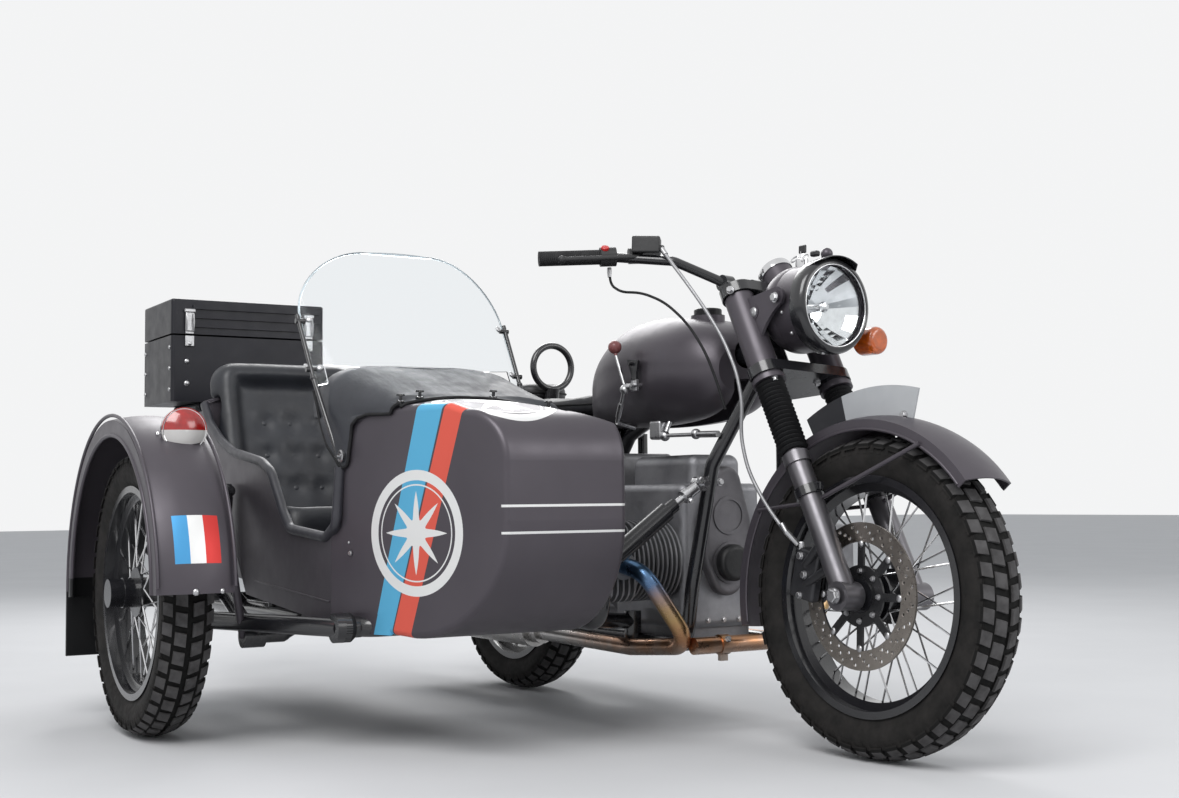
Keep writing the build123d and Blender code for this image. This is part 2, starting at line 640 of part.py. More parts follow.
def motorcycle_frame():
    """Duplex cradle with a backbone, a saddle loop and the swing arm pivot."""
    frame = head_tube()
    frame += bent_tube([(1135, 0, 872), (900, 0, 812), (560, 0, 690), (440, 0, 560)], BACKBONE_TUBE, 60)
    for side in (-1, 1):
        cradle = [
            (1160, side * 22, 824), (DOWN_TUBE_X + 48, side * 100, 600), (DOWN_TUBE_X, side * RAIL_Y, 330),
            (DOWN_TUBE_X - 27, side * RAIL_Y, RAIL_Z), (330, side * RAIL_Y, RAIL_Z), (250, side * RAIL_Y, 330),
            (210, side * RAIL_Y, SADDLE_RAIL_Z),
        ]
        frame += bent_tube(cradle, FRAME_TUBE, 55)
        loop = [(560, side * 20, 692), (420, side * RAIL_Y, SADDLE_RAIL_Z), (-160, side * RAIL_Y, SADDLE_RAIL_Z)]
        frame += bent_tube(loop, FRAME_TUBE - 6, 50)
        frame += rod((SWING_PIVOT_X, side * RAIL_Y, RAIL_Z), (SWING_PIVOT_X, side * RAIL_Y, SADDLE_RAIL_Z - 6), FRAME_TUBE - 6)
    frame += rod((SWING_PIVOT_X, -RAIL_Y, SWING_PIVOT_Z), (SWING_PIVOT_X, RAIL_Y, SWING_PIVOT_Z), 30)
    frame += rod((440, -RAIL_Y, 560), (440, RAIL_Y, 560), 28)
    frame += rod((210, -RAIL_Y, SADDLE_RAIL_Z), (210, RAIL_Y, SADDLE_RAIL_Z), 26)
    frame += rod((-150, -RAIL_Y, SADDLE_RAIL_Z), (-150, RAIL_Y, SADDLE_RAIL_Z), 26)
    frame += rod((100, -RAIL_Y, SADDLE_RAIL_Z), (100, RAIL_Y, SADDLE_RAIL_Z), 22)
    frame += rod((400, -RAIL_Y, RAIL_Z), (400, RAIL_Y, RAIL_Z), 26)
    frame += rod((DOWN_TUBE_X - 34, -RAIL_Y, RAIL_Z), (DOWN_TUBE_X - 34, RAIL_Y, RAIL_Z), 26)
    frame -= rod(on_fork(LOWER_CLAMP_AT, 0, -FORK_OFFSET), on_fork(LEG_TOP, 0, -FORK_OFFSET), STEM_DIAMETER + 2 * BEARING_CLEARANCE)
    return frame


def engine_block():
    """Crankcase with its rounded front cover, sump and the alternator hump on top."""
    half = CRANKCASE_HALF_WIDTH
    case = block((CRANKCASE_REAR_X, CRANKCASE_FRONT_X), (-half, half), (228, 560), 18)
    sump = block((CRANKCASE_REAR_X + 15, CRANKCASE_FRONT_X - 20), (-92, 92), (186, 260), 10)
    hump = block((CRANKCASE_REAR_X + 20, CRANKCASE_FRONT_X - 15), (-72, 72), (540, 628), 24)
    outline = make_hull([
        *(Pos(0, 560) * Circle(40)).edges(),
        *(Pos(0, 468) * Circle(66)).edges(),
        *(Pos(0, 400) * Circle(68)).edges(),
        *(Pos(0, 346) * Circle(44)).edges(),
    ])
    cover = extrude(Plane.YZ.offset(CRANKCASE_FRONT_X - 4) * outline, COVER_DEPTH + 4)
    cover = fillet(cover.faces().sort_by(Axis.X)[-1].edges(), 12)
    ring = Circle(44) - Circle(36)
    emblem = extrude(Plane.YZ.offset(CRANKCASE_FRONT_X + COVER_DEPTH - 1) * (Pos(0, 486) * ring), 4)
    return case + sump + hump + cover + emblem


def generator_cap():
    face = CRANKCASE_FRONT_X + COVER_DEPTH
    cap = rod((face - 1, 0, 378), (face + 30, 0, 378), 84)
    cap = fillet(cap.faces().sort_by(Axis.X)[-1].edges(), 12)
    return cap + rod((face - 1, 0, 378), (face + 6, 0, 378), 96)


def gearbox():
    bell = make_hull([
        *(Pos(0, 400) * Circle(118)).edges(),
        *(Pos(0, 330) * Circle(104)).edges(),
    ])
    case = extrude(Plane.YZ.offset(CRANKCASE_REAR_X - 60) * bell, 60)
    case += block((CRANKCASE_REAR_X - 190, CRANKCASE_REAR_X - 50), (-84, 84), (250, 500), 16)
    case += block((CRANKCASE_REAR_X - 180, CRANKCASE_REAR_X - 60), (-70, 70), (236, 262), 6)
    case -= rod((SWING_PIVOT_X, -200, SWING_PIVOT_Z), (SWING_PIVOT_X, 200, SWING_PIVOT_Z), 34)
    return case


def cylinder(side):
    """Finned barrel, finned head and valve cover along the Y axis."""
    start = CRANKCASE_HALF_WIDTH
    outline = [(0, start), (FIN_CORE_RADIUS + 14, start), (FIN_CORE_RADIUS + 14, start + 8)]
    for number in range(FIN_COUNT):
        y = start + 12 + number * FIN_PITCH
        outline += [(FIN_CORE_RADIUS, y), (FIN_RADIUS, y), (FIN_RADIUS, y + FIN_THICKNESS), (FIN_CORE_RADIUS, y + FIN_THICKNESS)]
    outline += [(FIN_CORE_RADIUS, HEAD_START), (0, HEAD_START)]
    barrel = revolve(make_face(Polyline(*outline, close=True)), Axis.Y, 360)
    head = Pos(0, HEAD_START + HEAD_LENGTH / 2, 0) * Box(HEAD_WIDTH - 36, HEAD_LENGTH, HEAD_HEIGHT - 30)
    for number in range(6):
        y = HEAD_START + 6 + number * 15
        fin = extrude(Plane.XZ.offset(-y) * RectangleRounded(HEAD_WIDTH, HEAD_HEIGHT, 34), FIN_THICKNESS)
        head += fin
    lid_y = HEAD_START + HEAD_LENGTH
    lid = extrude(Plane.XZ.offset(-lid_y) * RectangleRounded(HEAD_WIDTH - 20, HEAD_HEIGHT - 24, 46), -VALVE_COVER_DEPTH)
    lid = fillet(lid.faces().sort_by(Axis.Y)[-1].edges(), 20)
    port = HEAD_START + 36
    flange = rod((HEAD_WIDTH / 2 - 22, port, -6), (HEAD_WIDTH / 2 + PORT_FLANGE, port, -6), 62)
    plug = rod((30, HEAD_START + 30, HEAD_HEIGHT / 2 - 12), (46, HEAD_START + 16, HEAD_HEIGHT / 2 + 30), 22)
    tubes = rod((-26, start, 52), (-26, HEAD_START + 8, 62), 24) + rod((26, start, 52), (26, HEAD_START + 8, 62), 24)
    whole = Pos(CYLINDER_X, 0, CYLINDER_Z) * (barrel + head + lid + flange + plug + tubes)
    return whole if side > 0 else mirrored(whole)


def intake():
    """A carburettor behind each head with its pipe to the air box over the gearbox."""
    both = block((480, 620), (-96, 96), (510, 640), 14)
    for side in (-1, 1):
        port_y = side * (HEAD_START + 40)
        rear_face = CYLINDER_X - HEAD_WIDTH / 2
        body = rod((rear_face, port_y, CYLINDER_Z + 20), (rear_face - 90, port_y, CYLINDER_Z + 20), 52)
        body += rod((rear_face - 45, port_y, CYLINDER_Z - 45), (rear_face - 45, port_y, CYLINDER_Z + 105), 56)
        pipe = [
            (rear_face - 85, port_y, CYLINDER_Z + 20), (rear_face - 160, port_y, CYLINDER_Z + 20),
            (rear_face - 205, side * 190, CYLINDER_Z + 170), (rear_face - 230, side * 90, CYLINDER_Z + 190),
        ]
        both += body + bent_tube(pipe, 44, 40)
    return both


def swing_arm():
    """Rear fork with the shaft tube and the final drive housing on the right."""
    arm = rod((SWING_PIVOT_X, -110, SWING_PIVOT_Z), (SWING_PIVOT_X, 110, SWING_PIVOT_Z), 52)
    for side in (-1, 1):
        y = side * 90
        arm += rod((SWING_PIVOT_X, y, SWING_PIVOT_Z), (-10, y, TYRE_RADIUS), 36)
    hub_side = HUB_LENGTH / 2 + WHEEL_SIDE_GAP
    arm += rod((0, -hub_side, TYRE_RADIUS), (0, -hub_side - 66, TYRE_RADIUS), 190)
    arm += rod((0, -hub_side - 60, TYRE_RADIUS), (0, -hub_side - 84, TYRE_RADIUS), 110)
    arm += rod((0, hub_side, TYRE_RADIUS), (0, 118, TYRE_RADIUS), 70)
    arm += rod((0, -hub_side - 10, TYRE_RADIUS), (0, 124, TYRE_RADIUS), AXLE_DIAMETER)
    arm -= rod((SWING_PIVOT_X, -111, SWING_PIVOT_Z), (SWING_PIVOT_X, 111, SWING_PIVOT_Z), 30)
    return arm


def rear_shocks():
    pair = None
    for side in (-1, 1):
        y = side * 146
        low = Vector(20, y, 372)
        high = Vector(90, y, 650)
        line = high - low
        unit = rod(low, high, 34)
        for number in range(9):
            start = low + line * (0.2 + number * 0.07)
            unit += rod(start, start + line * 0.035, 58)
        unit += rod((low.X, side * 108, low.Z), (low.X, side * 160, low.Z), 16)
        unit += rod((high.X, side * 132, high.Z), (high.X, side * 160, high.Z), 16)
        pair = unit if pair is None else pair + unit
    return pair


FILLER_X = 912
FILLER_DIAMETER = 66


def fuel_tank():
    """Teardrop tank lofted through rounded sections, with a tunnel for the backbone."""
    # columns: x, half width, bottom, top, corner radius
    sections = (
        (446, 34, 718, 768, 20),
        (516, 82, 706, 858, 58),
        (630, 128, 702, 930, 94),
        (770, 150, 700, 958, 112),
        (905, 150, 706, 948, 108),
        (1000, 124, 724, 922, 88),
        (1058, 76, 770, 862, 42),
    )
    faces = []
    for x, half, low, high, corner in sections:
        plane = Plane((x, 0, (low + high) / 2), x_dir=(0, 1, 0), z_dir=(1, 0, 0))
        faces.append(plane * RectangleRounded(2 * half, high - low, corner))
    tank = loft(faces)
    tank += rod((FILLER_X, 0, 930), (FILLER_X, 0, 956), FILLER_DIAMETER + 14)
    cap = rod((FILLER_X, 0, 955), (FILLER_X, 0, 972), FILLER_DIAMETER)
    tank += fillet(cap.faces().sort_by(Axis.Z)[-1].edges(), 5)
    tunnel = block((500, 1100), (-34, 34), (680, 796))
    tunnel += rod((1140, 0, 873), (900, 0, 812), 62) + rod((900, 0, 812), (560, 0, 690), 62)
    return tank - tunnel - head_tube_space()


def head_tube_space():
    low = on_fork(LOWER_CLAMP_AT - 40, 0, -FORK_OFFSET)
    high = on_fork(LEG_TOP + 60, 0, -FORK_OFFSET)
    return rod(low, high, HEAD_TUBE_DIAMETER + 90)


def saddle(rear_x, front_x, rear_half, front_half, low_z, high_z):
    """A sprung seat pad, wide at the back and narrow at the front."""
    outline = make_hull([
        *(Pos(rear_x + rear_half * 0.7, rear_half * 0.3) * Circle(rear_half * 0.7)).edges(),
        *(Pos(rear_x + rear_half * 0.7, -rear_half * 0.3) * Circle(rear_half * 0.7)).edges(),
        *(Pos(front_x - front_half, 0) * Circle(front_half)).edges(),
    ])
    pad = extrude(Plane.XY.offset(low_z) * outline, high_z - low_z)
    return fillet(pad.faces().sort_by(Axis.Z)[-1].edges(), (high_z - low_z) * 0.4)


def saddle_mounts():
    """Carriers under both saddles, their coil springs and the pillion hand hoop."""
    rail = SADDLE_RAIL_Z
    mounts = block((250, 430), (-60, 60), (738, 746), 2)
    mounts += rod((410, 0, 712), (410, 0, 745), 30)
    mounts += rod((410, -RAIL_Y, rail + 6), (410, RAIL_Y, rail + 6), 18)
    for side in (-1, 1):
        mounts += rod((300, side * 55, rail), (300, side * 55, 745), 44)
        mounts += rod((300, side * 40, rail), (300, side * RAIL_Y, rail), 20)
        mounts += rod((-80, side * 60, rail), (-80, side * 60, 790), 40)
        mounts += rod((-80, side * 50, rail), (-80, side * RAIL_Y, rail), 20)
    mounts += block((-120, 150), (-60, 60), (786, 794), 2)
    mounts += rod((100, 0, rail), (100, 0, 790), 34)
    mounts += Pos(168, 0, 892) * Rot(0, 90, 0) * Torus(60, 9)
    mounts += rod((160, 0, 800), (168, 0, 836), 40)
    mounts += rod((140, 0, 792), (160, 0, 804), 40)
    return mounts


def rear_mudguard():
    guard = guard_arc(GUARD_RADIUS, REAR_GUARD_FROM, REAR_GUARD_TO, REAR_GUARD_WIDTH, GUARD_SKIRT, GUARD_WALL)
    guard = place(REAR_AXLE, guard)
    for side in (-1, 1):
        for x, z in ((-150, 640), (100, 660)):
            guard += rod((x, side * (REAR_GUARD_WIDTH / 2 - 1), z), (x, side * RAIL_Y, SADDLE_RAIL_Z - 12), 10)
    return guard


PLATE_BOLT_SPACING = 120
PLATE_BOLT_HOLE = 6.5


def tail_lamp():
    """Round rear lamp over a blank plate carrier."""
    angle = math.radians(158)
    foot = REAR_AXLE + Vector(GUARD_RADIUS * math.cos(angle), 0, GUARD_RADIUS * math.sin(angle))
    lamp = rod(foot + Vector(6, 0, 26), foot + Vector(-56, 0, 26), 78)
    plate = block((foot.X - 46, foot.X - 42), (-90, 90), (foot.Z - 150, foot.Z - 20), 1)
    for side in (-1, 1):
        y = side * PLATE_BOLT_SPACING / 2
        plate -= rod((foot.X - 50, y, foot.Z - 85), (foot.X - 38, y, foot.Z - 85), PLATE_BOLT_HOLE)
    lamp += plate
    lamp += block((foot.X - 44, foot.X - 2), (-18, 18), (foot.Z - 60, foot.Z - 10), 2)
    lamp -= place(REAR_AXLE, Rot(90, 0, 0) * Cylinder(GUARD_RADIUS, REAR_GUARD_WIDTH + 60))
    return lamp


BALANCE_X = 1056
BALANCE_Z = 201
EXHAUST_PIPE = 38
EXHAUST_Z = 186
EXHAUST_Y = 188
SILENCER_DIAMETER = 78


def exhaust():
    """Header from each head, the balance pipe under the sump and two silencers."""
    pipes = None
    head_front = CYLINDER_X + HEAD_WIDTH / 2
    port_y = HEAD_START + 36
    for side in (-1, 1):
        header = [
            (head_front + PORT_FLANGE, side * port_y, CYLINDER_Z - 6), (head_front + 66, side * (port_y - 12), CYLINDER_Z - 18),
            (BALANCE_X, side * (EXHAUST_Y - 26), BALANCE_Z), (850, side * EXHAUST_Y, EXHAUST_Z),
            (420, side * EXHAUST_Y, EXHAUST_Z + 6),
        ]
        run = bent_tube(header, EXHAUST_PIPE, 52)
        y = side * EXHAUST_Y
        silencer = rod((440, y, EXHAUST_Z + 6), (390, y, EXHAUST_Z + 6), 56)
        silencer += rod((400, y, EXHAUST_Z + 6), (-300, y, EXHAUST_Z + 8), SILENCER_DIAMETER)
        silencer += rod((-300, y, EXHAUST_Z + 8), (-380, y, EXHAUST_Z + 8), 44)
        unit = run + silencer
        pipes = unit if pipes is None else pipes + unit
    reach = EXHAUST_Y - 32
    pipes += rod((BALANCE_X, -reach, BALANCE_Z), (BALANCE_X, reach, BALANCE_Z), EXHAUST_PIPE)
    for y in (-76, 76):
        collar = rod((BALANCE_X, y - 12, BALANCE_Z), (BALANCE_X, y + 12, BALANCE_Z), EXHAUST_PIPE + 7)
        collar += block((BALANCE_X - 6, BALANCE_X + 6), (y - 10, y + 10), (BALANCE_Z - 36, BALANCE_Z), 1)
        pipes += collar
    return pipes


def steering_damper():
    """Rod and black tube under the tank, between two ball joints."""
    damper = rod((893, -114, 672), (1013, -110, 670), 9)
    for x, y in ((893, -114), (1013, -110)):
        damper += Pos(x, y, 671) * Sphere(12)
    damper += rod((893, -114, 672), (860, -114, 676), 16)
    damper += rod((1013, -110, 670), (1090, -104, 668), 15)
    damper += rod((893, -114, 672), (893, -100, 704), 10)
    damper += block((840, 884), (-124, -96), (664, 708), 6)
    return damper


HAND_LEVER_Y = -172
HAND_LEVER_PIVOT = (846, 792)


def hand_lever():
    """Short lever with a ball knob on a plate at the right of the tank, and its link below."""
    x, z = HAND_LEVER_PIVOT
    plate = extrude(Plane.XZ.offset(-HAND_LEVER_Y - 9) * make_face(Polyline(
        (x - 28, z + 62), (x + 20, z + 56), (x + 12, z + 26), (x + 14, z - 14), (x - 12, z - 14), (x - 10, z + 24),
        close=True)), 6)
    lever = plate
    for shift_x, shift_z in ((-8, 50), (2, 0)):
        lever += rod((x + shift_x, HAND_LEVER_Y - 6, z + shift_z), (x + shift_x, -128, z + shift_z), 9)
    arm_top = (x - 48, HAND_LEVER_Y - 16, z + 78)
    lever += rod((x - 6, HAND_LEVER_Y, z - 4), (x - 22, HAND_LEVER_Y - 8, z - 4), 15)
    lever += rod((x - 20, HAND_LEVER_Y - 8, z - 4), arm_top, 8)
    lever += rod(arm_top, (x - 50, HAND_LEVER_Y - 16, z + 88), 13)
    lever += Pos(x - 50, HAND_LEVER_Y - 16, z + 92) * Sphere(16)
    lever += Pos(x - 22, HAND_LEVER_Y - 8, z - 10) * Sphere(11)
    lever += rod((x - 22, HAND_LEVER_Y - 8, z - 10), (x - 72, HAND_LEVER_Y + 2, z - 84), 9)
    lever += rod((x - 44, HAND_LEVER_Y - 4, z - 42), (x - 64, HAND_LEVER_Y, z - 72), 13)
    lever += rod((x - 72, HAND_LEVER_Y + 2, z - 84), (x - 76, -118, z - 96), 12)
    return lever


# Sidecar

def sidecar_side_face(inset):
    """Side outline of the tub with its round nose, as X and Z."""
    top_z = DECK_REAR_Z + 80
    rear = COCKPIT_REAR_X - 14 + inset
    front = NOSE_X - inset
    floor = inset
    top_start = (front - NOSE_TOP_RADIUS, DECK_NOSE_Z + 34 - inset)
    top_end = (front, DECK_NOSE_Z + 34 - inset - NOSE_TOP_RADIUS)
    bulge = math.sqrt(0.5)
    top_middle = (front - NOSE_TOP_RADIUS * (1 - bulge), DECK_NOSE_Z + 34 - inset - NOSE_TOP_RADIUS * (1 - bulge))
    low_start = (front, 246 + floor + NOSE_BOTTOM_RADIUS)
    low_end = (front - NOSE_BOTTOM_RADIUS, 246 + floor)
    low_middle = (front - NOSE_BOTTOM_RADIUS * (1 - bulge), 246 + floor + NOSE_BOTTOM_RADIUS * (1 - bulge))
    lines = [
        Polyline(top_start, (800, top_z - 60), (rear, top_z), (rear, 700), (-50 + inset, 590), (50 + inset, 484),
                 (192 + inset, 304 + floor), (799, 261 + floor), low_end),
        ThreePointArc(low_end, low_middle, low_start),
        Line(low_start, top_end),
        ThreePointArc(top_end, top_middle, top_start),
    ]
    return make_face(lines)


def sidecar_plan(inset):
    """Plan outline of the tub, straight on the left and narrowing to the nose."""
    rear = COCKPIT_REAR_X - 14 + inset
    outline = Polyline(
        (rear, BODY_LEFT_Y - inset), (NOSE_X - inset, BODY_LEFT_Y - inset), (NOSE_X - inset, NOSE_RIGHT_Y + inset),
        (TAPER_START_X, BODY_RIGHT_Y + inset), (rear, BODY_RIGHT_Y + inset), close=True,
    )
    return make_face(outline)


def deck_crown(inset):
    """Space under the arched deck, sloping down to the nose."""
    slope = math.degrees(math.atan((DECK_REAR_Z - DECK_NOSE_Z) / (NOSE_X - COCKPIT_REAR_X)))
    side_z = DECK_REAR_Z - inset
    outline = [
        Line((0, -900), (0, side_z)),
        ThreePointArc((0, side_z), (BODY_MIDDLE_Y - BODY_LEFT_Y, side_z + DECK_CROWN), (BODY_RIGHT_Y - BODY_LEFT_Y, side_z)),
        Line((BODY_RIGHT_Y - BODY_LEFT_Y, side_z), (BODY_RIGHT_Y - BODY_LEFT_Y, -900)),
        Line((BODY_RIGHT_Y - BODY_LEFT_Y, -900), (0, -900)),
    ]
    face = make_face(outline)
    arch = extrude(Plane((0, BODY_LEFT_Y, 0), x_dir=(0, 1, 0), z_dir=(1, 0, 0)) * face, 4000, both=True)
    turn = Axis((COCKPIT_REAR_X, 0, DECK_REAR_Z), (0, 1, 0))
    return arch.rotate(turn, slope)


NOSE_EDGE = 14


def tub_form(inset):
    side = extrude(Plane.XZ * sidecar_side_face(inset), 2000, both=True)
    plan = extrude(sidecar_plan(inset), 2000)
    return side & plan & deck_crown(inset)


def rounded_tub_form():
    """The tub's outer form with soft edges down both sides of the nose."""
    form = tub_form(0)
    edges = []
    for edge in form.edges():
        box = edge.bounding_box()
        on_right = box.max.Y < NOSE_RIGHT_Y + 50 and box.max.X > 1000
        on_left = box.min.Y > BODY_LEFT_Y - 1 and box.max.X > NOSE_X - 9
        if on_right or (on_left and box.min.X > TAPER_START_X):
            edges.append(edge)
    return fillet(edges, NOSE_EDGE)


def tail_form(inset):
    """Boot behind the seat, narrower than the tub."""
    rear = TAIL_X + inset
    profile = Polyline(
        (COCKPIT_REAR_X + 60, DECK_REAR_Z - inset), (rear + 90, 770 - inset), (rear, 700), (rear, 520),
        (rear + 120, 380 + inset), (0, 330 + inset), (60, 470), (60, 600), (COCKPIT_REAR_X + 60, 700), close=True,
    )
    side = extrude(Plane.XZ * make_face(profile), 2000, both=True)
    plan = make_face(Polyline(
        (rear, BODY_LEFT_Y - inset - 20), (rear + 60, BODY_LEFT_Y - inset), (100, BODY_LEFT_Y - inset),
        (100, TAIL_RIGHT_Y + inset), (rear + 80, TAIL_RIGHT_Y + inset), (rear, TAIL_RIGHT_Y + inset + 40), close=True,
    ))
    return side & extrude(plan, 2000)


def cockpit_cut():
    """Opening of the cockpit, low at the entry step and high behind the seat."""
    # columns: x, z along the rolled rim, from behind the seat to the front edge
    rim = ((-150, 900), (-150, 782), (-104, 738), (-10, 688), (90, 654), (201, 632), (306, 624), (369, 600),
           (418, 542), (454, 502), (502, 466), (570, 460), (722, 450), (762, 466), (COCKPIT_FRONT_X, 520),
           (COCKPIT_FRONT_X, 900))
    right = extrude(Plane.XZ.offset(600) * make_face(Polyline(*rim, close=True)), 400)
    left_rim = ((-150, 900), (-150, 760), (-60, 700), (COCKPIT_FRONT_X - 60, 690), (COCKPIT_FRONT_X, 740), (COCKPIT_FRONT_X, 900))
    left = extrude(Plane.XZ.offset(380) * make_face(Polyline(*left_rim, close=True)), 230)
    return right + left


def tub():
    shell = rounded_tub_form() + tail_form(0)
    floor_top = FLOOR_Z + BODY_WALL
    above = block((TAIL_X, NOSE_X), (BODY_RIGHT_Y, BODY_LEFT_Y), (floor_top, 1000))
    room = (tub_form(BODY_WALL) + tail_form(BODY_WALL)) & above
    bay = block((CHASSIS_REAR_X - 60, CHASSIS_FRONT_X + 60), (BODY_RIGHT_Y + BODY_WALL, BODY_LEFT_Y - BODY_WALL), (200, FLOOR_Z))
    for x, y_from, y_to, width in (
        (CHASSIS_FRONT_X, BODY_LEFT_Y - 20, BODY_LEFT_Y + 20, 42),
        (CHASSIS_FRONT_X - 60, BODY_LEFT_Y - 20, BODY_LEFT_Y + 20, 46),
        (STEP_HINGE_X, BODY_RIGHT_Y + 20, BODY_RIGHT_Y - 20, 66),
    ):
        bay += rod((x, y_from, CHASSIS_Z), (x, y_to, CHASSIS_Z), width)
    return shell - room - bay - cockpit_cut()


def cockpit_rim():
    """Rolled tube along the entry edge of the cockpit."""
    y = BODY_RIGHT_Y
    path = [(-150, y, 788), (-104, y, 738), (-10, y, 688), (90, y, 654), (306, y, 624), (369, y, 600), (454, y, 504),
            (502, y, 466), (722, y, 450), (COCKPIT_FRONT_X, y, 478), (COCKPIT_FRONT_X + 2, y + 8, 600)]
    return bent_tube(path, RIM_TUBE, 16)


def cockpit_seat():
    """Low bench with a raked backrest."""
    half_gap = BODY_WALL + 12
    squab = block((-90, 400), (BODY_RIGHT_Y + half_gap, BODY_LEFT_Y - half_gap), (400, 520), 34)
    back = Pos(-130, BODY_MIDDLE_Y, 665) * Rot(0, -16, 0) * Box(110, 410, 480)
    back = fillet(back.edges(), 36)
    return squab + back - tub()


def cowl():
    """Padded cover between the windscreen and the deck."""
    outline = Polyline((662, 806), (690, 826), (740, 818), (930, 738), (930, 690), (790, 700), (700, 780), close=True)
    slab = extrude(Plane.XZ * make_face(outline), 2000, both=True)
    wide = sidecar_plan(4)
    shape = slab & extrude(wide, 2000)
    flap = block((752, 830), (BODY_RIGHT_Y - 14, BODY_RIGHT_Y + 20), (600, 760), 5)
    return shape + flap - tub()


SCREEN_BASE_X = 753
SCREEN_BASE_Z = 815
SCREEN_LEAN = 30
SCREEN_RADIUS = 640
SCREEN_HALF_WIDTH = 253
SCREEN_HEIGHT = 332
SCREEN_CORNER = 160
SCREEN_THICKNESS = 4
SCREEN_SAGITTA = SCREEN_RADIUS - math.sqrt(SCREEN_RADIUS ** 2 - SCREEN_HALF_WIDTH ** 2)


def leaned(x, y, z):
    """A place on the upright screen, leant back with it."""
    lean = math.radians(SCREEN_LEAN)
    return Vector(SCREEN_BASE_X + x * math.cos(lean) - z * math.sin(lean), y, SCREEN_BASE_Z + z * math.cos(lean) + x * math.sin(lean))


def windscreen():
    """Curved clear screen leaning back over the cowl."""
    band = Circle(SCREEN_RADIUS) - Circle(SCREEN_RADIUS - SCREEN_THICKNESS)
    sheet = extrude(Pos(-SCREEN_RADIUS, 0, -20) * band, SCREEN_HEIGHT + 40)
    low = -12
    outline = Pos(0, (SCREEN_HEIGHT + low) / 2 - SCREEN_CORNER) * RectangleRounded(
        2 * SCREEN_HALF_WIDTH, SCREEN_HEIGHT - low + 2 * SCREEN_CORNER, SCREEN_CORNER)
    cutter = extrude(Plane((-200, 0, 0), x_dir=(0, 1, 0), z_dir=(1, 0, 0)) * outline, 400)
    screen = sheet & cutter & block((-200, 100), (-400, 400), (low, SCREEN_HEIGHT + 10))
    return Pos(SCREEN_BASE_X, BODY_MIDDLE_Y, SCREEN_BASE_Z) * Rot(0, -SCREEN_LEAN, 0) * screen


def windscreen_stays():
    stays = None
    for side in (-1, 1):
        y = BODY_MIDDLE_Y + side * (SCREEN_HALF_WIDTH + 6)
        joint_y = BODY_MIDDLE_Y + side * (SCREEN_HALF_WIDTH + 1)
        low_y = BODY_MIDDLE_Y + side * (BODY_LEFT_Y - BODY_MIDDLE_Y + 9)
        top = leaned(-SCREEN_SAGITTA, y, 176)
        joint = leaned(-SCREEN_SAGITTA + 2, joint_y, 6)
        stay = rod(top, joint, 10) + Pos(*joint) * Sphere(7)
        stay += rod(joint, (820, low_y, 610), 10)
        for z in (30, 160):
            stay += rod(leaned(-SCREEN_SAGITTA, y - side * 16, z), leaned(-SCREEN_SAGITTA, y + side * 7, z), 12)
        stays = stay if stays is None else stays + stay
    return stays - cowl() - windscreen()


SIDE_GUARD_FROM = 2
SIDE_GUARD_TO = 184
FLAP_LOW_Z = 152
FLAP_TOP_Z = 345
GUARD_MIDDLE_Y = (SIDE_GUARD_INNER_Y + SIDE_GUARD_OUTER_Y) / 2


def sidecar_mudguard():
    width = SIDE_GUARD_INNER_Y - SIDE_GUARD_OUTER_Y
    guard = guard_arc(SIDE_GUARD_RADIUS, SIDE_GUARD_FROM, SIDE_GUARD_TO, width, SIDE_GUARD_SKIRT, GUARD_WALL)
    reach = SIDE_GUARD_RADIUS - SIDE_GUARD_SKIRT
    bead_arc = Axis((0, 0, 0), (0, -1, 0))
    for side in (-1, 1):
        bead = Pos(reach, side * (width / 2 - 1), 0) * Circle(5)
        guard += Rot(0, -SIDE_GUARD_FROM, 0) * revolve(bead, bead_arc, SIDE_GUARD_TO - SIDE_GUARD_FROM)
    guard = Pos(SIDECAR_WHEEL_LEAD, GUARD_MIDDLE_Y, TYRE_RADIUS) * guard
    back = SIDECAR_WHEEL_LEAD - SIDE_GUARD_RADIUS
    guard += block((back - 6, back + 2), (SIDE_GUARD_OUTER_Y - 2, SIDE_GUARD_INNER_Y), (FLAP_LOW_Z, FLAP_TOP_Z), 2)
    tip_radius = SIDE_GUARD_RADIUS - SIDE_GUARD_SKIRT / 2
    for angle, foot in (
        (12, (OUTRIGGER_X, SIDE_ARM_Y - 22, CHASSIS_Z - 32)),
        (122, (UPRIGHT_X, UPRIGHT_Y, 560)),
        (164, (-225, CHASSIS_RIGHT_Y - 8, CHASSIS_Z)),
    ):
        a = math.radians(angle)
        tip_x = SIDECAR_WHEEL_LEAD + tip_radius * math.cos(a)
        tip_z = TYRE_RADIUS + tip_radius * math.sin(a)
        guard += rod(foot, (tip_x, SIDE_GUARD_INNER_Y - 1, tip_z), 18)
    return guard


SIDE_LAMP_DIAMETER = 94


def side_lamp(centre, facing):
    """Round lamp with a domed lens on a tapered base that seats on the mudguard."""
    radius = SIDE_LAMP_DIAMETER / 2
    profile = [
        Line((-70, 0), (-70, radius * 0.62)),
        Line((-70, radius * 0.62), (-14, radius + 3)),
        Line((-14, radius + 3), (0, radius + 3)),
        Line((0, radius + 3), (0, radius)),
        ThreePointArc((0, radius), dome_middle((0, radius), 16), (16, 0)),
        Line((16, 0), (-70, 0)),
    ]
    lamp = revolve(make_face(profile), Axis.X, 360)
    return Pos(*centre) * Rot(0, 0, 180 if facing < 0 else 0) * lamp


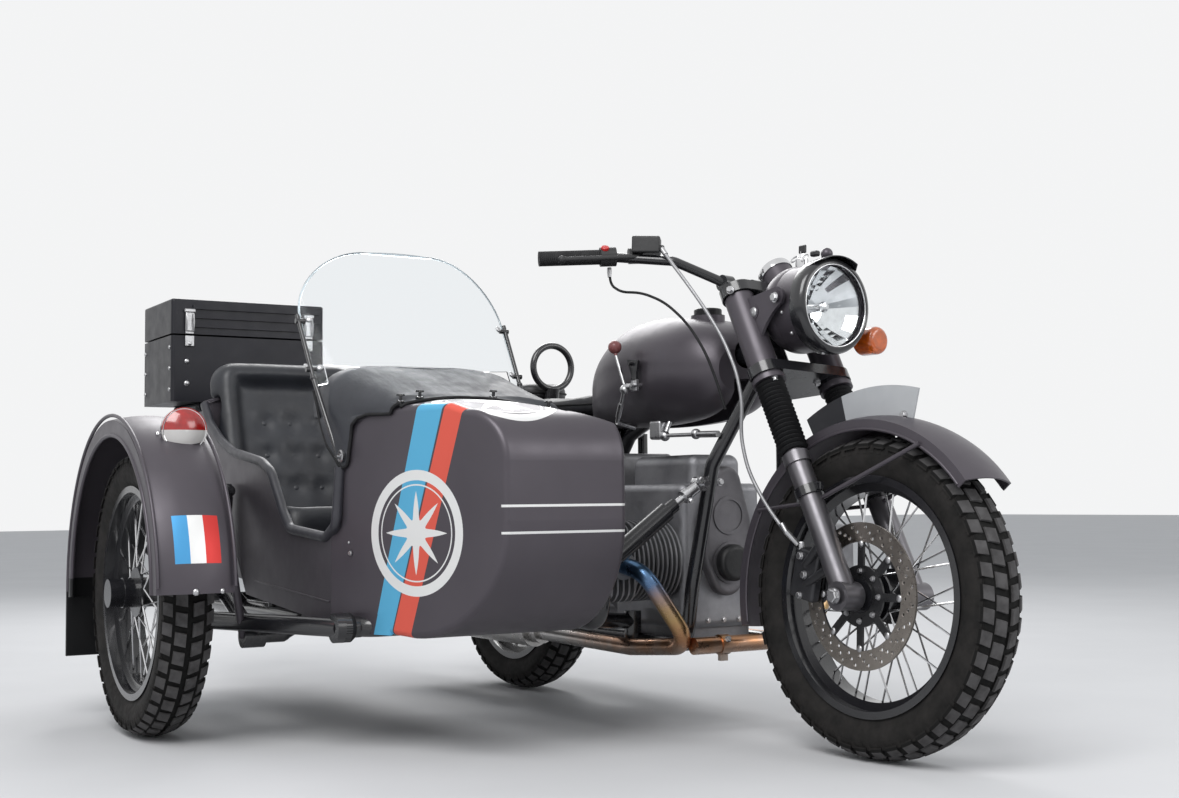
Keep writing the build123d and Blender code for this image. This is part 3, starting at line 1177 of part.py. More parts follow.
def sidecar_lamps():
    lamps = side_lamp((520, -1130, 687), 1)
    lamps += side_lamp((-32, -1155, 650), -1)
    ring = Pos(SIDECAR_WHEEL_LEAD, GUARD_MIDDLE_Y, TYRE_RADIUS)
    return lamps - ring * Rot(90, 0, 0) * Cylinder(SIDE_GUARD_RADIUS - 2, 400)


def sidecar_frame():
    """Tube chassis under the tub, its joints to the motorcycle and the wheel's outrigger."""
    z = CHASSIS_Z
    left = CHASSIS_LEFT_Y
    right = CHASSIS_RIGHT_Y
    front = CHASSIS_FRONT_X
    rear = CHASSIS_REAR_X
    tube = CHASSIS_TUBE
    frame = bent_tube([(470, left, z), (front, left, z), (front, right, z), (rear, right, z), (rear, left, z),
                       (390, left, z)], tube, 40)
    frame += rod((370, left, z), (490, left, z), tube + 4)
    frame += bent_tube([(front, left - 30, z), (front, STRUT_Y, z), (STRUT_X, STRUT_Y, z), (STRUT_X, STRUT_Y, 384)], 36, 50)
    frame += rod((front - 60, left, z), (front - 60, -152, z - 24), 36)
    frame += rod((front - 60, -143, RAIL_Z), (front - 60, -143, z), 40)
    frame += bent_tube([(180, left, z), (215, -300, 276), (240, -152, 276)], tube - 6, 60)
    frame += rod((240, -160, 276), (240, -125, 276), 46)
    frame += rod((OUTRIGGER_X, right, z), (OUTRIGGER_X, right - 60, z - 30), 36)
    frame += rod((OUTRIGGER_X, right - 56, z - 32), (OUTRIGGER_X, SIDE_ARM_Y - 24, z - 32), 36)
    frame += Pos(OUTRIGGER_X, right - 58, z - 31) * Sphere(18)
    frame += bent_tube([(UPRIGHT_X, right, z), (UPRIGHT_X, UPRIGHT_Y, z + 70), (UPRIGHT_X, UPRIGHT_Y, 575)], 34, 40)
    frame += rod((UPRIGHT_X, UPRIGHT_Y, 556), (SHOCK_TOP_X + 4, UPRIGHT_Y - 2, 556), 30)
    for mount_x in (300, 700):
        for mount_y in (left, right):
            frame += rod((mount_x, mount_y, z), (mount_x, mount_y, FLOOR_Z), 30)
    frame += rod((STEP_HINGE_X, right, z), (STEP_HINGE_X, STEP_HINGE_Y, z), 44)
    frame += rod((STEP_HINGE_X, STEP_HINGE_Y + 16, z), (STEP_HINGE_X, STEP_HINGE_Y - 16, z), 62)
    return frame


def clevis_strut(low, sleeve_end, high):
    """Tube strut with a threaded rod and a forked end at its top."""
    low, sleeve_end, high = Vector(*low), Vector(*sleeve_end), Vector(*high)
    run = high - sleeve_end
    strut = rod(low, sleeve_end, 42)
    strut += rod(sleeve_end - run * 0.02, sleeve_end + run * 0.25, 30)
    strut += rod(sleeve_end, high, 17)
    strut += rod(sleeve_end + run * 0.5, sleeve_end + run * 0.62, 32)
    strut += rod(sleeve_end + run * 0.62, high, 26)
    strut += rod(high - Vector(15, 0, 0), high + Vector(15, 0, 0), 32)
    strut += rod(high - Vector(24, 0, 0), high + Vector(24, 0, 0), 13)
    return strut


def sidecar_struts():
    """Two upper struts from the sidecar chassis to the motorcycle."""
    struts = clevis_strut((STRUT_X, STRUT_Y, 380), (STRUT_X + 2, -226, 498), (STRUT_X + 6, -138, 558))
    struts += rod((STRUT_X + 6, -138, 558), (STRUT_X - 7, -104, 562), 22)
    struts += clevis_strut((219, -306, 280), (280, -196, 520), (300, -150, 646))
    struts += rod((300, -146, 648), (300, -128, 690), 22)
    return struts


def sidecar_swing_arm():
    """Trailing arm, stub axle and covered shock absorber of the sidecar wheel."""
    pivot = (OUTRIGGER_X, SIDE_ARM_Y, CHASSIS_Z - 32)
    foot = (SHOCK_FOOT_X, SIDE_ARM_Y, 338)
    arm = rod((OUTRIGGER_X, SIDE_ARM_Y - 24, pivot[2]), (OUTRIGGER_X, SIDE_ARM_Y + 24, pivot[2]), 54)
    arm += bent_tube([pivot, (SIDECAR_WHEEL_LEAD + 60, SIDE_ARM_Y, TYRE_RADIUS - 22), foot], 36, 60)
    inner = -TRACK + HUB_LENGTH / 2 + WHEEL_SIDE_GAP
    arm += rod((SIDECAR_WHEEL_LEAD, SIDE_ARM_Y + 20, TYRE_RADIUS), (SIDECAR_WHEEL_LEAD, inner, TYRE_RADIUS), 56)
    arm += rod((SIDECAR_WHEEL_LEAD, inner, TYRE_RADIUS), (SIDECAR_WHEEL_LEAD, -TRACK - SIDE_AXLE_END + 1, TYRE_RADIUS), AXLE_DIAMETER)
    low = Vector(*foot)
    high = Vector(SHOCK_TOP_X, UPRIGHT_Y - 18, 556)
    line = high - low
    arm += rod(low, high, 30)
    arm += rod(low + line * 0.2, low + line * 0.52, 44)
    arm += rod(low + line * 0.48, low + line * 0.93, 52)
    arm += rod(low - Vector(0, 26, 0), low + Vector(0, 26, 0), 34)
    arm += rod(high - Vector(0, 20, 0), high + Vector(0, 20, 0), 36)
    return arm


STEP_BAR = 40


def step_board():
    """Slatted step beside the cockpit with its round outer bar."""
    z = CHASSIS_Z
    inner = (STEP_HINGE_X, STEP_HINGE_Y)
    outer = (404, -1056)
    bar = rod((inner[0], inner[1], z), (outer[0], outer[1], z), STEP_BAR)
    slats = None
    slope = (outer[1] - inner[1]) / (outer[0] - inner[0])
    for number in range(6):
        shift = 24 + number * 15
        x_low = 470
        x_high = min(815, 815 - (shift - 24) * 0.2)
        y_low = inner[1] + slope * (x_low - inner[0]) + shift
        y_high = inner[1] + slope * (x_high - inner[0]) + shift
        slat = rod((x_low, y_low, z + 6), (x_high, y_high, z + 6), 9)
        slats = slat if slats is None else slats + slat
    slats -= block((0, 1200), (BODY_RIGHT_Y - 6, 0), (0, 900))
    board = bar + slats
    for x in (500, 640, 760):
        edge = inner[1] + slope * (x - inner[0])
        board += rod((x, edge, z), (x, BODY_RIGHT_Y - 8, z), 14)
    return board


HINGE_X = BOX_REAR_X - 12
HINGE_PIN = 8
LID_LINE = BOX_TOP_Z - LID_HEIGHT


def luggage_box():
    """Open case on two rails over the tail, with the hinge brackets of its lid."""
    rim_z = LID_LINE - LID_GAP
    case = block((BOX_REAR_X, BOX_FRONT_X), (BOX_RIGHT_Y, BOX_LEFT_Y), (BOX_FLOOR_Z, rim_z))
    case = fillet(case.edges().filter_by(Axis.Z), 10)
    w = BOX_WALL
    case -= block((BOX_REAR_X + w, BOX_FRONT_X - w), (BOX_RIGHT_Y + w, BOX_LEFT_Y - w), (BOX_FLOOR_Z + w, rim_z + 50))
    for y in (-520, -785):
        case += rod((BOX_FRONT_X - 20, y, BOX_FLOOR_Z - 10), (BOX_REAR_X + 20, y, BOX_FLOOR_Z - 10), 22)
        for x in (BOX_FRONT_X - 40, BOX_REAR_X + 70):
            case += rod((x, y, BOX_FLOOR_Z - 10), (x, y, 720), 30)
        for shift in (-32, 32):
            case += block((HINGE_X - 6, BOX_REAR_X + 2), (y + shift - 8, y + shift + 8), (rim_z - 30, rim_z))
            case += rod((HINGE_X, y + shift - 8, LID_LINE - 3), (HINGE_X, y + shift + 8, LID_LINE - 3), 16)
        case += rod((HINGE_X, y - 30, LID_LINE - 3), (HINGE_X, y + 30, LID_LINE - 3), HINGE_PIN)
    return case


def luggage_lid():
    """Deep lid with three raised bands along its front."""
    low = LID_LINE
    lid = block((BOX_REAR_X, BOX_FRONT_X), (BOX_RIGHT_Y, BOX_LEFT_Y), (low, BOX_TOP_Z))
    lid = fillet(lid.edges().filter_by(Axis.Z), 10)
    lid = fillet(lid.faces().sort_by(Axis.Z)[-1].edges(), 6)
    w = BOX_WALL
    lid -= block((BOX_REAR_X + w, BOX_FRONT_X - w), (BOX_RIGHT_Y + w, BOX_LEFT_Y - w), (low - 1, BOX_TOP_Z - w))
    for number in range(3):
        z = low + 26 + number * 26
        lid += block((BOX_FRONT_X - 1, BOX_FRONT_X + 5), (BOX_RIGHT_Y + 60, BOX_LEFT_Y - 14), (z - 6, z + 6))
    for y in (-520, -785):
        knuckle = rod((HINGE_X, y - 22, LID_LINE - 3), (HINGE_X, y + 22, LID_LINE - 3), 16)
        knuckle += block((HINGE_X - 2, BOX_REAR_X + 4), (y - 22, y + 22), (LID_LINE, LID_LINE + 24))
        knuckle -= rod((HINGE_X, y - 30, LID_LINE - 3), (HINGE_X, y + 30, LID_LINE - 3), HINGE_PIN + 2 * BEARING_CLEARANCE)
        lid += knuckle
    return lid


# Lines held along the front end, drawn straight ahead

HOSE_DIAMETER = 8
CABLE_DIAMETER = 6
HOSE_ROUTE = (
    (974, -178, 1084), (1008, -176, 1048), (1054, -164, 994), (1104, -150, 930), (1150, -140, 866), (1190, -134, 790),
    (1206, -130, 722), (1202, -130, 655), (1222, -126, 580), (1270, -116, 505), (1318, -100, 446),
)
CABLE_ROUTE = (
    (866, -243, 1040), (872, -242, 1004), (911, -241, 983), (968, -226, 977), (1031, -210, 951),
    (1090, -193, 901), (1137, -179, 835), (1163, -165, 766), (1177, -153, 709),
)


def line_radii(route):
    """The largest arc that each corner of a route leaves room for."""
    radii = []
    for before, here, after in zip(route, route[1:], route[2:]):
        incoming = Vector(*here) - Vector(*before)
        outgoing = Vector(*after) - Vector(*here)
        turn = math.radians(incoming.get_angle(outgoing))
        radii.append(0.45 * min(incoming.length, outgoing.length) / math.tan(turn / 2))
    return radii


def held_line(route, diameter):
    radii = line_radii(route)
    print("smallest radius", round(min(radii), 1), "for a line of", diameter, "mm")
    path = FilletPolyline(*route, radius=radii)
    return sweep(Plane(path @ 0, z_dir=path % 0) * Circle(diameter / 2), path=path)


def build_front():
    sliders = fork_sliders()
    stem = steering_stem()
    bar = handlebar() - stem - rod(on_fork(0, 0, -FORK_OFFSET), on_fork(LEG_TOP + 14, 0, -FORK_OFFSET), STEM_DIAMETER)
    shell = headlamp_shell() - stem
    covers = fork_covers() - shell - stem
    guard = front_mudguard()
    hose = held_line(HOSE_ROUTE, HOSE_DIAMETER)
    controls = hand_controls() - hose
    caliper = brake_caliper() - hose
    grip_pair = grips() - controls
    return {
        "steering_stem": stem,
        "fork_sliders": sliders,
        "fork_gaiters": fork_gaiters(),
        "fork_covers": covers,
        "headlamp_shell": shell,
        "headlamp_lens": headlamp_lens(),
        "handlebar": bar,
        "grips": grip_pair,
        "hand_controls": controls,
        "front_mudguard": guard,
        "number_board": number_board() - guard,
        "front_indicators": front_indicators() - shell - covers,
        "brake_caliper": caliper,
        "brake_hose": hose,
        "throttle_cable": held_line(CABLE_ROUTE, CABLE_DIAMETER),
        "brake_disc": place(FRONT_AXLE, brake_disc()),
    }


def build_rest():
    frame = motorcycle_frame()
    engine = engine_block() + generator_cap() - frame
    box_case = gearbox() - engine - frame
    left = cylinder(1) - engine
    right = cylinder(-1) - engine
    inlet = intake() - left - right - frame - box_case - engine
    pipes = exhaust() - left - right
    mounts = saddle_mounts() - frame
    arm = swing_arm()
    guard = rear_mudguard() - frame
    body = tub_form(0) + tail_form(0)
    shell = tub()
    chassis = sidecar_frame() - frame
    rim = cockpit_rim()
    shell = shell - rim
    side_arm = sidecar_swing_arm() - chassis
    cover = cowl() - rim
    side_guard = sidecar_mudguard() - shell - chassis - side_arm
    case = luggage_box() - body
    tank = fuel_tank() - frame
    return {
        "motorcycle_frame": frame,
        "engine_block": engine,
        "gearbox": box_case,
        "cylinder_left": left,
        "cylinder_right": right,
        "intake": inlet,
        "exhaust": pipes,
        "swing_arm": arm,
        "rear_shocks": rear_shocks() - arm - frame,
        "fuel_tank": tank,
        "saddle_mounts": mounts,
        "rider_saddle": saddle(228, 492, 128, 62, 746, 800) - tank,
        "pillion_saddle": saddle(-150, 148, 112, 92, 794, 852) - mounts,
        "rear_mudguard": guard,
        "tail_lamp": tail_lamp() - guard,
        "steering_damper": steering_damper() - frame,
        "hand_lever": hand_lever() - frame - inlet - tank,
        "tub": shell & block((TAIL_SEAM_X, NOSE_SEAM_X), (-2000, 0), (0, 2000)),
        "nose": (shell & block((NOSE_SEAM_X, 2000), (-2000, 0), (0, 2000))) - chassis,
        "tail": shell & block((-2000, TAIL_SEAM_X), (-2000, 0), (0, 2000)),
        "cockpit_rim": rim,
        "cockpit_seat": cockpit_seat() - rim,
        "cowl": cover,
        "windscreen": windscreen() - cover,
        "windscreen_stays": windscreen_stays() - shell - rim,
        "sidecar_mudguard": side_guard,
        "sidecar_lamps": sidecar_lamps() - side_guard,
        "sidecar_frame": chassis,
        "sidecar_struts": sidecar_struts() - frame - chassis,
        "sidecar_swing_arm": side_arm,
        "step_board": step_board() - chassis - side_arm - side_guard,
        "luggage_box": case,
        "luggage_lid": luggage_lid(),
        "rear_tyre": rear_tyre,
        "side_tyre": side_tyre,
        "rear_wheel": rear_wheel,
        "side_wheel": side_wheel,
    }


os.makedirs("parts", exist_ok=True)
for name, solid in build_front().items():
    write(name, steered(solid))
write("front_tyre", steered(place(FRONT_AXLE, tyre())))
write("front_wheel", steered(place(FRONT_AXLE, front_wheel)))
for name, solid in build_rest().items():
    write(name, solid)
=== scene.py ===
import bpy
import bmesh
from math import copysign, cos, exp, pi, radians, sin, sqrt
from mathutils import Matrix, Vector, noise
from mathutils.bvhtree import BVHTree


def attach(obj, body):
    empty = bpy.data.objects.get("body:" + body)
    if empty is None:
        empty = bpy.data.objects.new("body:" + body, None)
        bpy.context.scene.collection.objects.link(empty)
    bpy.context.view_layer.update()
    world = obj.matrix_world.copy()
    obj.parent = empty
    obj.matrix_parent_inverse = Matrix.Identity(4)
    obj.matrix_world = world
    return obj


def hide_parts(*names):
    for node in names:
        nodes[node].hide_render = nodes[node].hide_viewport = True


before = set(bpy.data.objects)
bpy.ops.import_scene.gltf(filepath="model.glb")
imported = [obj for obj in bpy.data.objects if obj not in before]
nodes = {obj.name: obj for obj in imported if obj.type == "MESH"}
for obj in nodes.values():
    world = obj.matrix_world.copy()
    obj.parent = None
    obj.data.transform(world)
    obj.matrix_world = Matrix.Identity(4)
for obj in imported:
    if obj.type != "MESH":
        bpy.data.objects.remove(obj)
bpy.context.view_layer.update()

# Layout of the vehicle, in the same millimetres as the part
ORIGIN_X, ORIGIN_Y = 522, -421
WHEELBASE = 1491
TRACK = 1144
SIDE_LEAD = 300
AXLE_Z = 325
RAKE = radians(28)
STEER_AT_REST = radians(5.7)
FORK_OFFSET = 50
FORK_HALF = 100
LAMP_X = 1344
LAMP_Z = 933
BODY_LEFT_Y = -420
BODY_RIGHT_Y = -880
BODY_MIDDLE_Y = -650
# where the flat side panel of the nose begins, and how it runs
PANEL_START = (750, -880)
PANEL_DIRECTION = Vector((459, 180, 0)).normalized()
PANEL_NORMAL = Vector((180, -459, 0)).normalized()

# The photograph's width and the camera that was fitted to it
PHOTO_WIDTH = 1179
CAMERA_AT = (3888.21, -2122.46, 525.86)
CAMERA_YAW = 2.5993
CAMERA_PITCH = 0.0647
CAMERA_ROLL = -0.0105
CAMERA_FOCAL_PIXELS = 1550.73


def x_at(x):
    return (x - ORIGIN_X) / 1000


def y_at(y):
    return (y - ORIGIN_Y) / 1000


def at(x, y, z):
    """A place given in the part's working millimetres, in metres of the shared frame."""
    return Vector((x_at(x), y_at(y), z / 1000))


FORWARD = Vector((1, 0, 0))
LEFT = Vector((0, 1, 0))
UP = Vector((0, 0, 1))
STEER_UP = Vector((-sin(RAKE), 0, cos(RAKE)))
STEER_FORWARD = Vector((cos(RAKE), 0, sin(RAKE)))
STEER_FOOT = at(WHEELBASE, 0, AXLE_Z) - STEER_FORWARD * FORK_OFFSET / 1000
STEER_TURN = Matrix.Rotation(STEER_AT_REST, 3, STEER_UP)
STEER = Matrix.Translation(STEER_FOOT) @ STEER_TURN.to_4x4() @ Matrix.Translation(-STEER_FOOT)


def turned(x, y, z):
    """A place on the front end, drawn straight ahead and turned with the steering."""
    return STEER @ at(x, y, z)


def on_fork(along, side):
    """A place on a fork leg, measured from the axle up the leg."""
    return STEER @ (at(WHEELBASE, side, AXLE_Z) + STEER_UP * along / 1000)


FRONT_AXLE = turned(WHEELBASE, 0, AXLE_Z)
FRONT_SIDE = (STEER_TURN @ LEFT).normalized()
SIDE_AXLE = at(SIDE_LEAD, -TRACK, AXLE_Z)
# columns: place of the axle, its direction, the body that turns
WHEELS = {
    "front": (FRONT_AXLE, FRONT_SIDE, "front_wheel_body"),
    "rear": (at(0, 0, AXLE_Z), LEFT, "rear_wheel_body"),
    "side": (SIDE_AXLE, LEFT, "sidecar_wheel_body"),
}

surfaces = {}


def touch(node, start, direction):
    """Where a straight line first meets a CAD piece, or else its start, and the surface's normal there."""
    direction = Vector(direction).normalized()
    if node not in surfaces:
        data = nodes[node].data
        surfaces[node] = BVHTree.FromPolygons([v.co.copy() for v in data.vertices],
                                              [tuple(p.vertices) for p in data.polygons])
    place, normal = surfaces[node].ray_cast(Vector(start), direction)[:2]
    return (Vector(start), -direction) if place is None else (place, normal)


# Mesh tools

def spread(low, high, steps):
    """Evenly spaced values from low to high, both included."""
    return [low + (high - low) * k / steps for k in range(steps + 1)]


def full_turn(steps):
    return [2 * pi * k / steps for k in range(steps)]


def eased(share):
    return share * share * (3 - 2 * share)


def rounded(past):
    """Height of a rounded edge, from one down to zero as past goes from zero to one."""
    return sqrt(max(0.0, 1 - past))


MERGE_WITHIN = 0.00002
FLAT_WITHIN = 0.01


class Shape:
    """Collects vertices and faces, and turns them into one object."""

    def __init__(self):
        self.vertices = []
        self.faces = []

    def add(self, vertices, faces):
        start = len(self.vertices)
        self.vertices.extend(Vector(v) for v in vertices)
        self.faces.extend([start + i for i in face] for face in faces)
        return self

    def loops(self, rings, close_ends=True, closed_rings=True):
        """Skins a list of equal rings of points."""
        count = len(rings[0])
        last = (len(rings) - 1) * count
        faces = []
        for r in range(0, last, count):
            for i in range(count if closed_rings else count - 1):
                j = (i + 1) % count
                faces.append((r + i, r + j, r + count + j, r + count + i))
        if close_ends:
            faces.append(tuple(reversed(range(count))))
            faces.append(tuple(range(last, last + count)))
        return self.add([p for ring in rings for p in ring], faces)

    def strip(self, rows):
        """An open skin through rows of points."""
        return self.loops(rows, close_ends=False, closed_rings=False)

    def tube(self, points, radius, sides=12, close_ends=True):
        """A round tube through points; radius may be one number or one per point."""
        points = [Vector(p) for p in points]
        radii = radius if isinstance(radius, (list, tuple)) else [radius] * len(points)
        tangents = [(after - before).normalized()
                    for before, after in zip(points[:1] + points, points[1:] + points[-1:])]
        normal = tangents[0].orthogonal().normalized()
        rings = []
        for point, tangent, size in zip(points, tangents, radii):
            normal = (normal - tangent * normal.dot(tangent)).normalized()
            across = tangent.cross(normal)
            rings.append([point + (normal * cos(a) + across * sin(a)) * size
                          for a in full_turn(sides)])
        return self.loops(rings, close_ends)

    def lathe(self, profile, centre, axis, sides=32):
        """Turns (radius, height) pairs about an axis."""
        axis = Vector(axis).normalized()
        across = FORWARD if abs(axis.y) > 0.9 else axis.orthogonal().normalized()
        third = axis.cross(across)
        rings = []
        for a in full_turn(sides):
            ray = across * cos(a) + third * sin(a)
            rings.append([Vector(centre) + axis * h + ray * r for r, h in profile])
        return self.strip(rings + rings[:1])

    def box(self, centre, size, turn=None, round_by=0.0):
        """A box with chamfered edges about a centre, turned by a matrix."""
        half = Vector(size) / 2
        cut = min(round_by, min(half) * 0.9)
        build = bmesh.new()
        for sx in (-1, 1):
            for sy in (-1, 1):
                for sz in (-1, 1):
                    corner = Vector((sx * half.x, sy * half.y, sz * half.z))
                    if not cut:
                        build.verts.new(corner)
                        continue
                    for kept in (2, 1, 0):
                        moved = corner - Vector((sx, sy, sz)) * cut
                        moved[kept] = corner[kept]
                        build.verts.new(moved)
        bmesh.ops.convex_hull(build, input=build.verts)
        bmesh.ops.dissolve_limit(build, angle_limit=FLAT_WITHIN, verts=build.verts, edges=build.edges)
        matrix = Matrix.Translation(Vector(centre)) @ (turn.to_4x4() if turn else Matrix.Identity(4))
        build.verts.index_update()
        self.add([matrix @ v.co for v in build.verts], [[v.index for v in f.verts] for f in build.faces])
        build.free()
        return self

    def bolt(self, place, axis, across, height):
        """A hexagon bolt head with a domed top on a washer."""
        axis = Vector(axis).normalized()
        r = across / 2
        self.lathe([(0, 0), (r * 1.25, 0), (r * 1.25, height * 0.2), (0, height * 0.2)], place, axis, 20)
        side = axis.orthogonal().normalized()
        other = axis.cross(side)
        corners = [side * cos(a) + other * sin(a) for a in full_turn(6)]
        return self.loops([[Vector(place) + axis * height * share + corner * r * size for corner in corners]
                           for share, size in ((0.15, 1.0), (0.85, 1.0), (1.0, 0.84))])

    def button(self, place, axis, radius, height):
        """A rivet or snap with a rounded top."""
        profile = [(radius * cos(t), height * sin(t)) for t in spread(0, pi / 2, 5)]
        return self.lathe([(radius, -height * 0.4)] + profile, place, axis, 18)

    def make(self, name, body, finish, crease=35, slot="bright_steel", thick=0.0, smooth=0):
        """One object on a body, with edges sharp beyond the crease angle in degrees."""
        data = bpy.data.meshes.new(name)
        build = bmesh.new()
        vertices = [build.verts.new(v) for v in self.vertices]
        for face in self.faces:
            build.faces.new([vertices[i] for i in face])
        bmesh.ops.remove_doubles(build, verts=build.verts, dist=MERGE_WITHIN)
        bmesh.ops.recalc_face_normals(build, faces=build.faces)
        for edge in build.edges:
            if len(edge.link_faces) == 2:
                edge.smooth = edge.calc_face_angle(0) < radians(crease)
        for face in build.faces:
            face.smooth = True
        build.to_mesh(data)
        build.free()
        obj = bpy.data.objects.new(name, data)
        bpy.context.scene.collection.objects.link(obj)
        data.materials.append(finish.material)
        if thick:
            shell = obj.modifiers.new("thickness", "SOLIDIFY")
            shell.thickness = thick
            shell.offset = 0
        if smooth:
            softer = obj.modifiers.new("roundness", "SUBSURF")
            softer.levels = smooth
            softer.render_levels = smooth
        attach(obj, body)
        return obj


# Materials

def field_operator(operation):
    return lambda field, other: field.graph.math(operation, field, other)


class Field:
    """What a socket gives over a surface, with the usual operators; a comparison gives one or zero."""

    __add__ = field_operator("ADD")
    __sub__ = field_operator("SUBTRACT")
    __mul__ = field_operator("MULTIPLY")
    __or__ = field_operator("MAXIMUM")
    __gt__ = field_operator("GREATER_THAN")
    __lt__ = field_operator("LESS_THAN")

    def __init__(self, graph, socket):
        self.graph = graph
        self.socket = socket

    def within(self, low, high):
        return (self > low) * (self < high)

    def ranged(self, low, high, out_low, out_high):
        """The field moved from one range of values to another, and held at its ends."""
        return self.graph.node("MapRange", {0: self, 1: low, 2: high, 3: out_low, 4: out_high})


class Graph:
    """Adds shader nodes to one tree."""

    def __init__(self, tree):
        self.tree = tree

    def feed(self, socket, value):
        """Links a field to a socket, or sets the socket's own value."""
        if isinstance(value, Field):
            self.tree.links.new(value.socket, socket)
        elif socket.type == "RGBA":
            socket.default_value = (*value, 1)
        else:
            socket.default_value = value

    def node(self, kind, inputs, output=0, **settings):
        """One output of a new node; inputs gives the value or the field of each socket."""
        made = self.tree.nodes.new("ShaderNode" + kind)
        for key, value in settings.items():
            setattr(made, key, value)
        for key, value in inputs.items():
            self.feed(made.inputs[key], value)
        return Field(self, made.outputs[output])

    def math(self, operation, *values):
        return self.node("Math", dict(enumerate(values)), operation=operation)

    def vector(self, operation, output, *values):
        return self.node("VectorMath", dict(enumerate(values)), output, operation=operation)


# the shader's sockets, as Finish.set names them
SHADER_SOCKETS = {
    "colour": "Base Color", "metal": "Metallic", "rough": "Roughness", "normal": "Normal", "ior": "IOR",
    "coat": "Coat Weight", "coat_rough": "Coat Roughness", "glass": "Transmission Weight",
    "specular": "Specular IOR Level",
}
# in metres: edges of the badge's ring and line, reach of the star's valleys and of its points beyond them
BADGE_RING = (0.108, 0.129)
BADGE_LINE = (0.097, 0.1)
STAR_CORE = 0.028
STAR_REACH = 0.058
STAR_POINTS = 8
WHITE = (0.78, 0.78, 0.77)


class Finish(Graph):
    """A node material on the object's own coordinates, in metres."""

    def __init__(self, name):
        self.material = bpy.data.materials.new(name)
        self.material.use_nodes = True
        super().__init__(self.material.node_tree)
        self.shader = self.tree.nodes["Principled BSDF"]
        self.place = self.node("TexCoord", {}, "Object")
        self.last = None
        self.relief = None

    def set(self, **values):
        for key, value in values.items():
            self.feed(self.shader.inputs[SHADER_SOCKETS[key]], value)
        return self

    def noise(self, scale, detail=4.0, rough=0.55, stretch=None):
        place = self.node("Mapping", {"Vector": self.place, "Scale": stretch}) if stretch else self.place
        return self.node("TexNoise", {"Vector": place, "Scale": scale, "Detail": detail, "Roughness": rough})

    def cells(self, scale):
        inputs = {"Vector": self.place, "Scale": scale}
        return self.node("TexVoronoi", inputs, "Distance", feature="DISTANCE_TO_EDGE")

    def mixed(self, share, first, second):
        return self.node("Mix", {0: share, 6: first, 7: second}, 2, data_type="RGBA")

    def axis(self, name):
        return self.node("SeparateXYZ", {0: self.place}, name)

    def from_axis(self, point, axis):
        """Distance of each point from a straight line."""
        moved = self.vector("SUBTRACT", 0, self.place, point)
        return self.vector("LENGTH", "Value", self.vector("CROSS_PRODUCT", 0, moved, axis))

    def along(self, origin, direction):
        """Distance of each point from an origin, measured along a direction."""
        moved = self.vector("SUBTRACT", 0, self.place, origin)
        return self.vector("DOT_PRODUCT", "Value", moved, direction)

    def faces(self, direction):
        """One where the surface faces a direction, and zero on its back."""
        return self.vector("DOT_PRODUCT", "Value", self.node("TexCoord", {}, "Normal"), direction) > 0.0

    def near(self, centre, radius):
        """One inside a ball, and zero outside."""
        return self.vector("DISTANCE", "Value", self.place, centre) < radius

    def colour(self, value):
        self.last = value
        return self.set(colour=value)

    def overlay(self, mask, colour):
        """Paints a colour where the mask is one."""
        return self.colour(self.mixed(mask, self.last, colour))

    def patchy(self, first, second, scale):
        """Two colours in soft clouds."""
        return self.colour(self.mixed(self.noise(scale).ranged(0.35, 0.65, 0, 1), first, second))

    def rough(self, low, high, scale):
        return self.set(rough=self.noise(scale, 5).ranged(0.3, 0.7, low, high))

    def bump(self, height, depth, strength):
        inputs = {"Strength": strength, "Distance": depth, "Height": height}
        if self.relief:
            inputs["Normal"] = self.relief
        self.relief = self.node("Bump", inputs)
        return self.set(normal=self.relief)

    def grain(self, scale, detail, depth, strength):
        return self.bump(self.noise(scale, detail), depth, strength)

    def badge(self, centre, across, up, outward, depth, keep):
        """A plain white ring with an eight-pointed star, laid flat on a surface."""
        u = self.along(centre, across)
        v = self.along(centre, up)
        near = self.along(centre, outward).within(-depth, depth) * keep
        radius = self.math("SQRT", u * u + v * v)
        turns = self.math("ARCTAN2", v, u) * (STAR_POINTS / (2 * pi))
        ray = self.math("PINGPONG", turns + (2 * STAR_POINTS + 0.5), 0.5) * 2.0
        star = radius < self.math("POWER", ray, 2.2) * STAR_REACH + STAR_CORE
        rings = radius.within(*BADGE_RING) + radius.within(*BADGE_LINE)
        return self.overlay((star | rings) * near, WHITE)


def painted(name, base, shade, rough_low, rough_high):
    """Enamel with faint clouds, a fine skin and slow waves."""
    f = Finish(name).patchy(base, shade, 3.2).rough(rough_low, rough_high, 22)
    return f.grain(900, 2, 0.00005, 0.35).grain(7, 2, 0.0006, 0.1)


def cast(name, base, shade, rough_low=0.42, rough_high=0.6, metallic=0.85, depth=0.00025):
    f = Finish(name).patchy(base, shade, 9).set(metal=metallic).rough(rough_low, rough_high, 60)
    return f.grain(420, 5, depth, 0.5).grain(40, 4, depth * 3, 0.3)


def bright(name, base, rough_low, rough_high, metallic=1.0):
    f = Finish(name).patchy(base, tuple(c * 0.86 for c in base), 40).set(metal=metallic)
    return f.rough(rough_low, rough_high, 160).grain(700, 3, 0.00003, 0.3)


def rubbery(name, base, shade, rough_low=0.6, rough_high=0.8):
    return Finish(name).patchy(base, shade, 25).rough(rough_low, rough_high, 90).grain(800, 4, 0.0001, 0.5)


def leather(name, base, shade, rough_low, rough_high):
    f = Finish(name).patchy(base, shade, 12).rough(rough_low, rough_high, 40)
    f.bump(f.cells(260) * -1.0, 0.00028, 0.55)
    return f.grain(90, 4, 0.0006, 0.3).grain(14, 3, 0.003, 0.25)


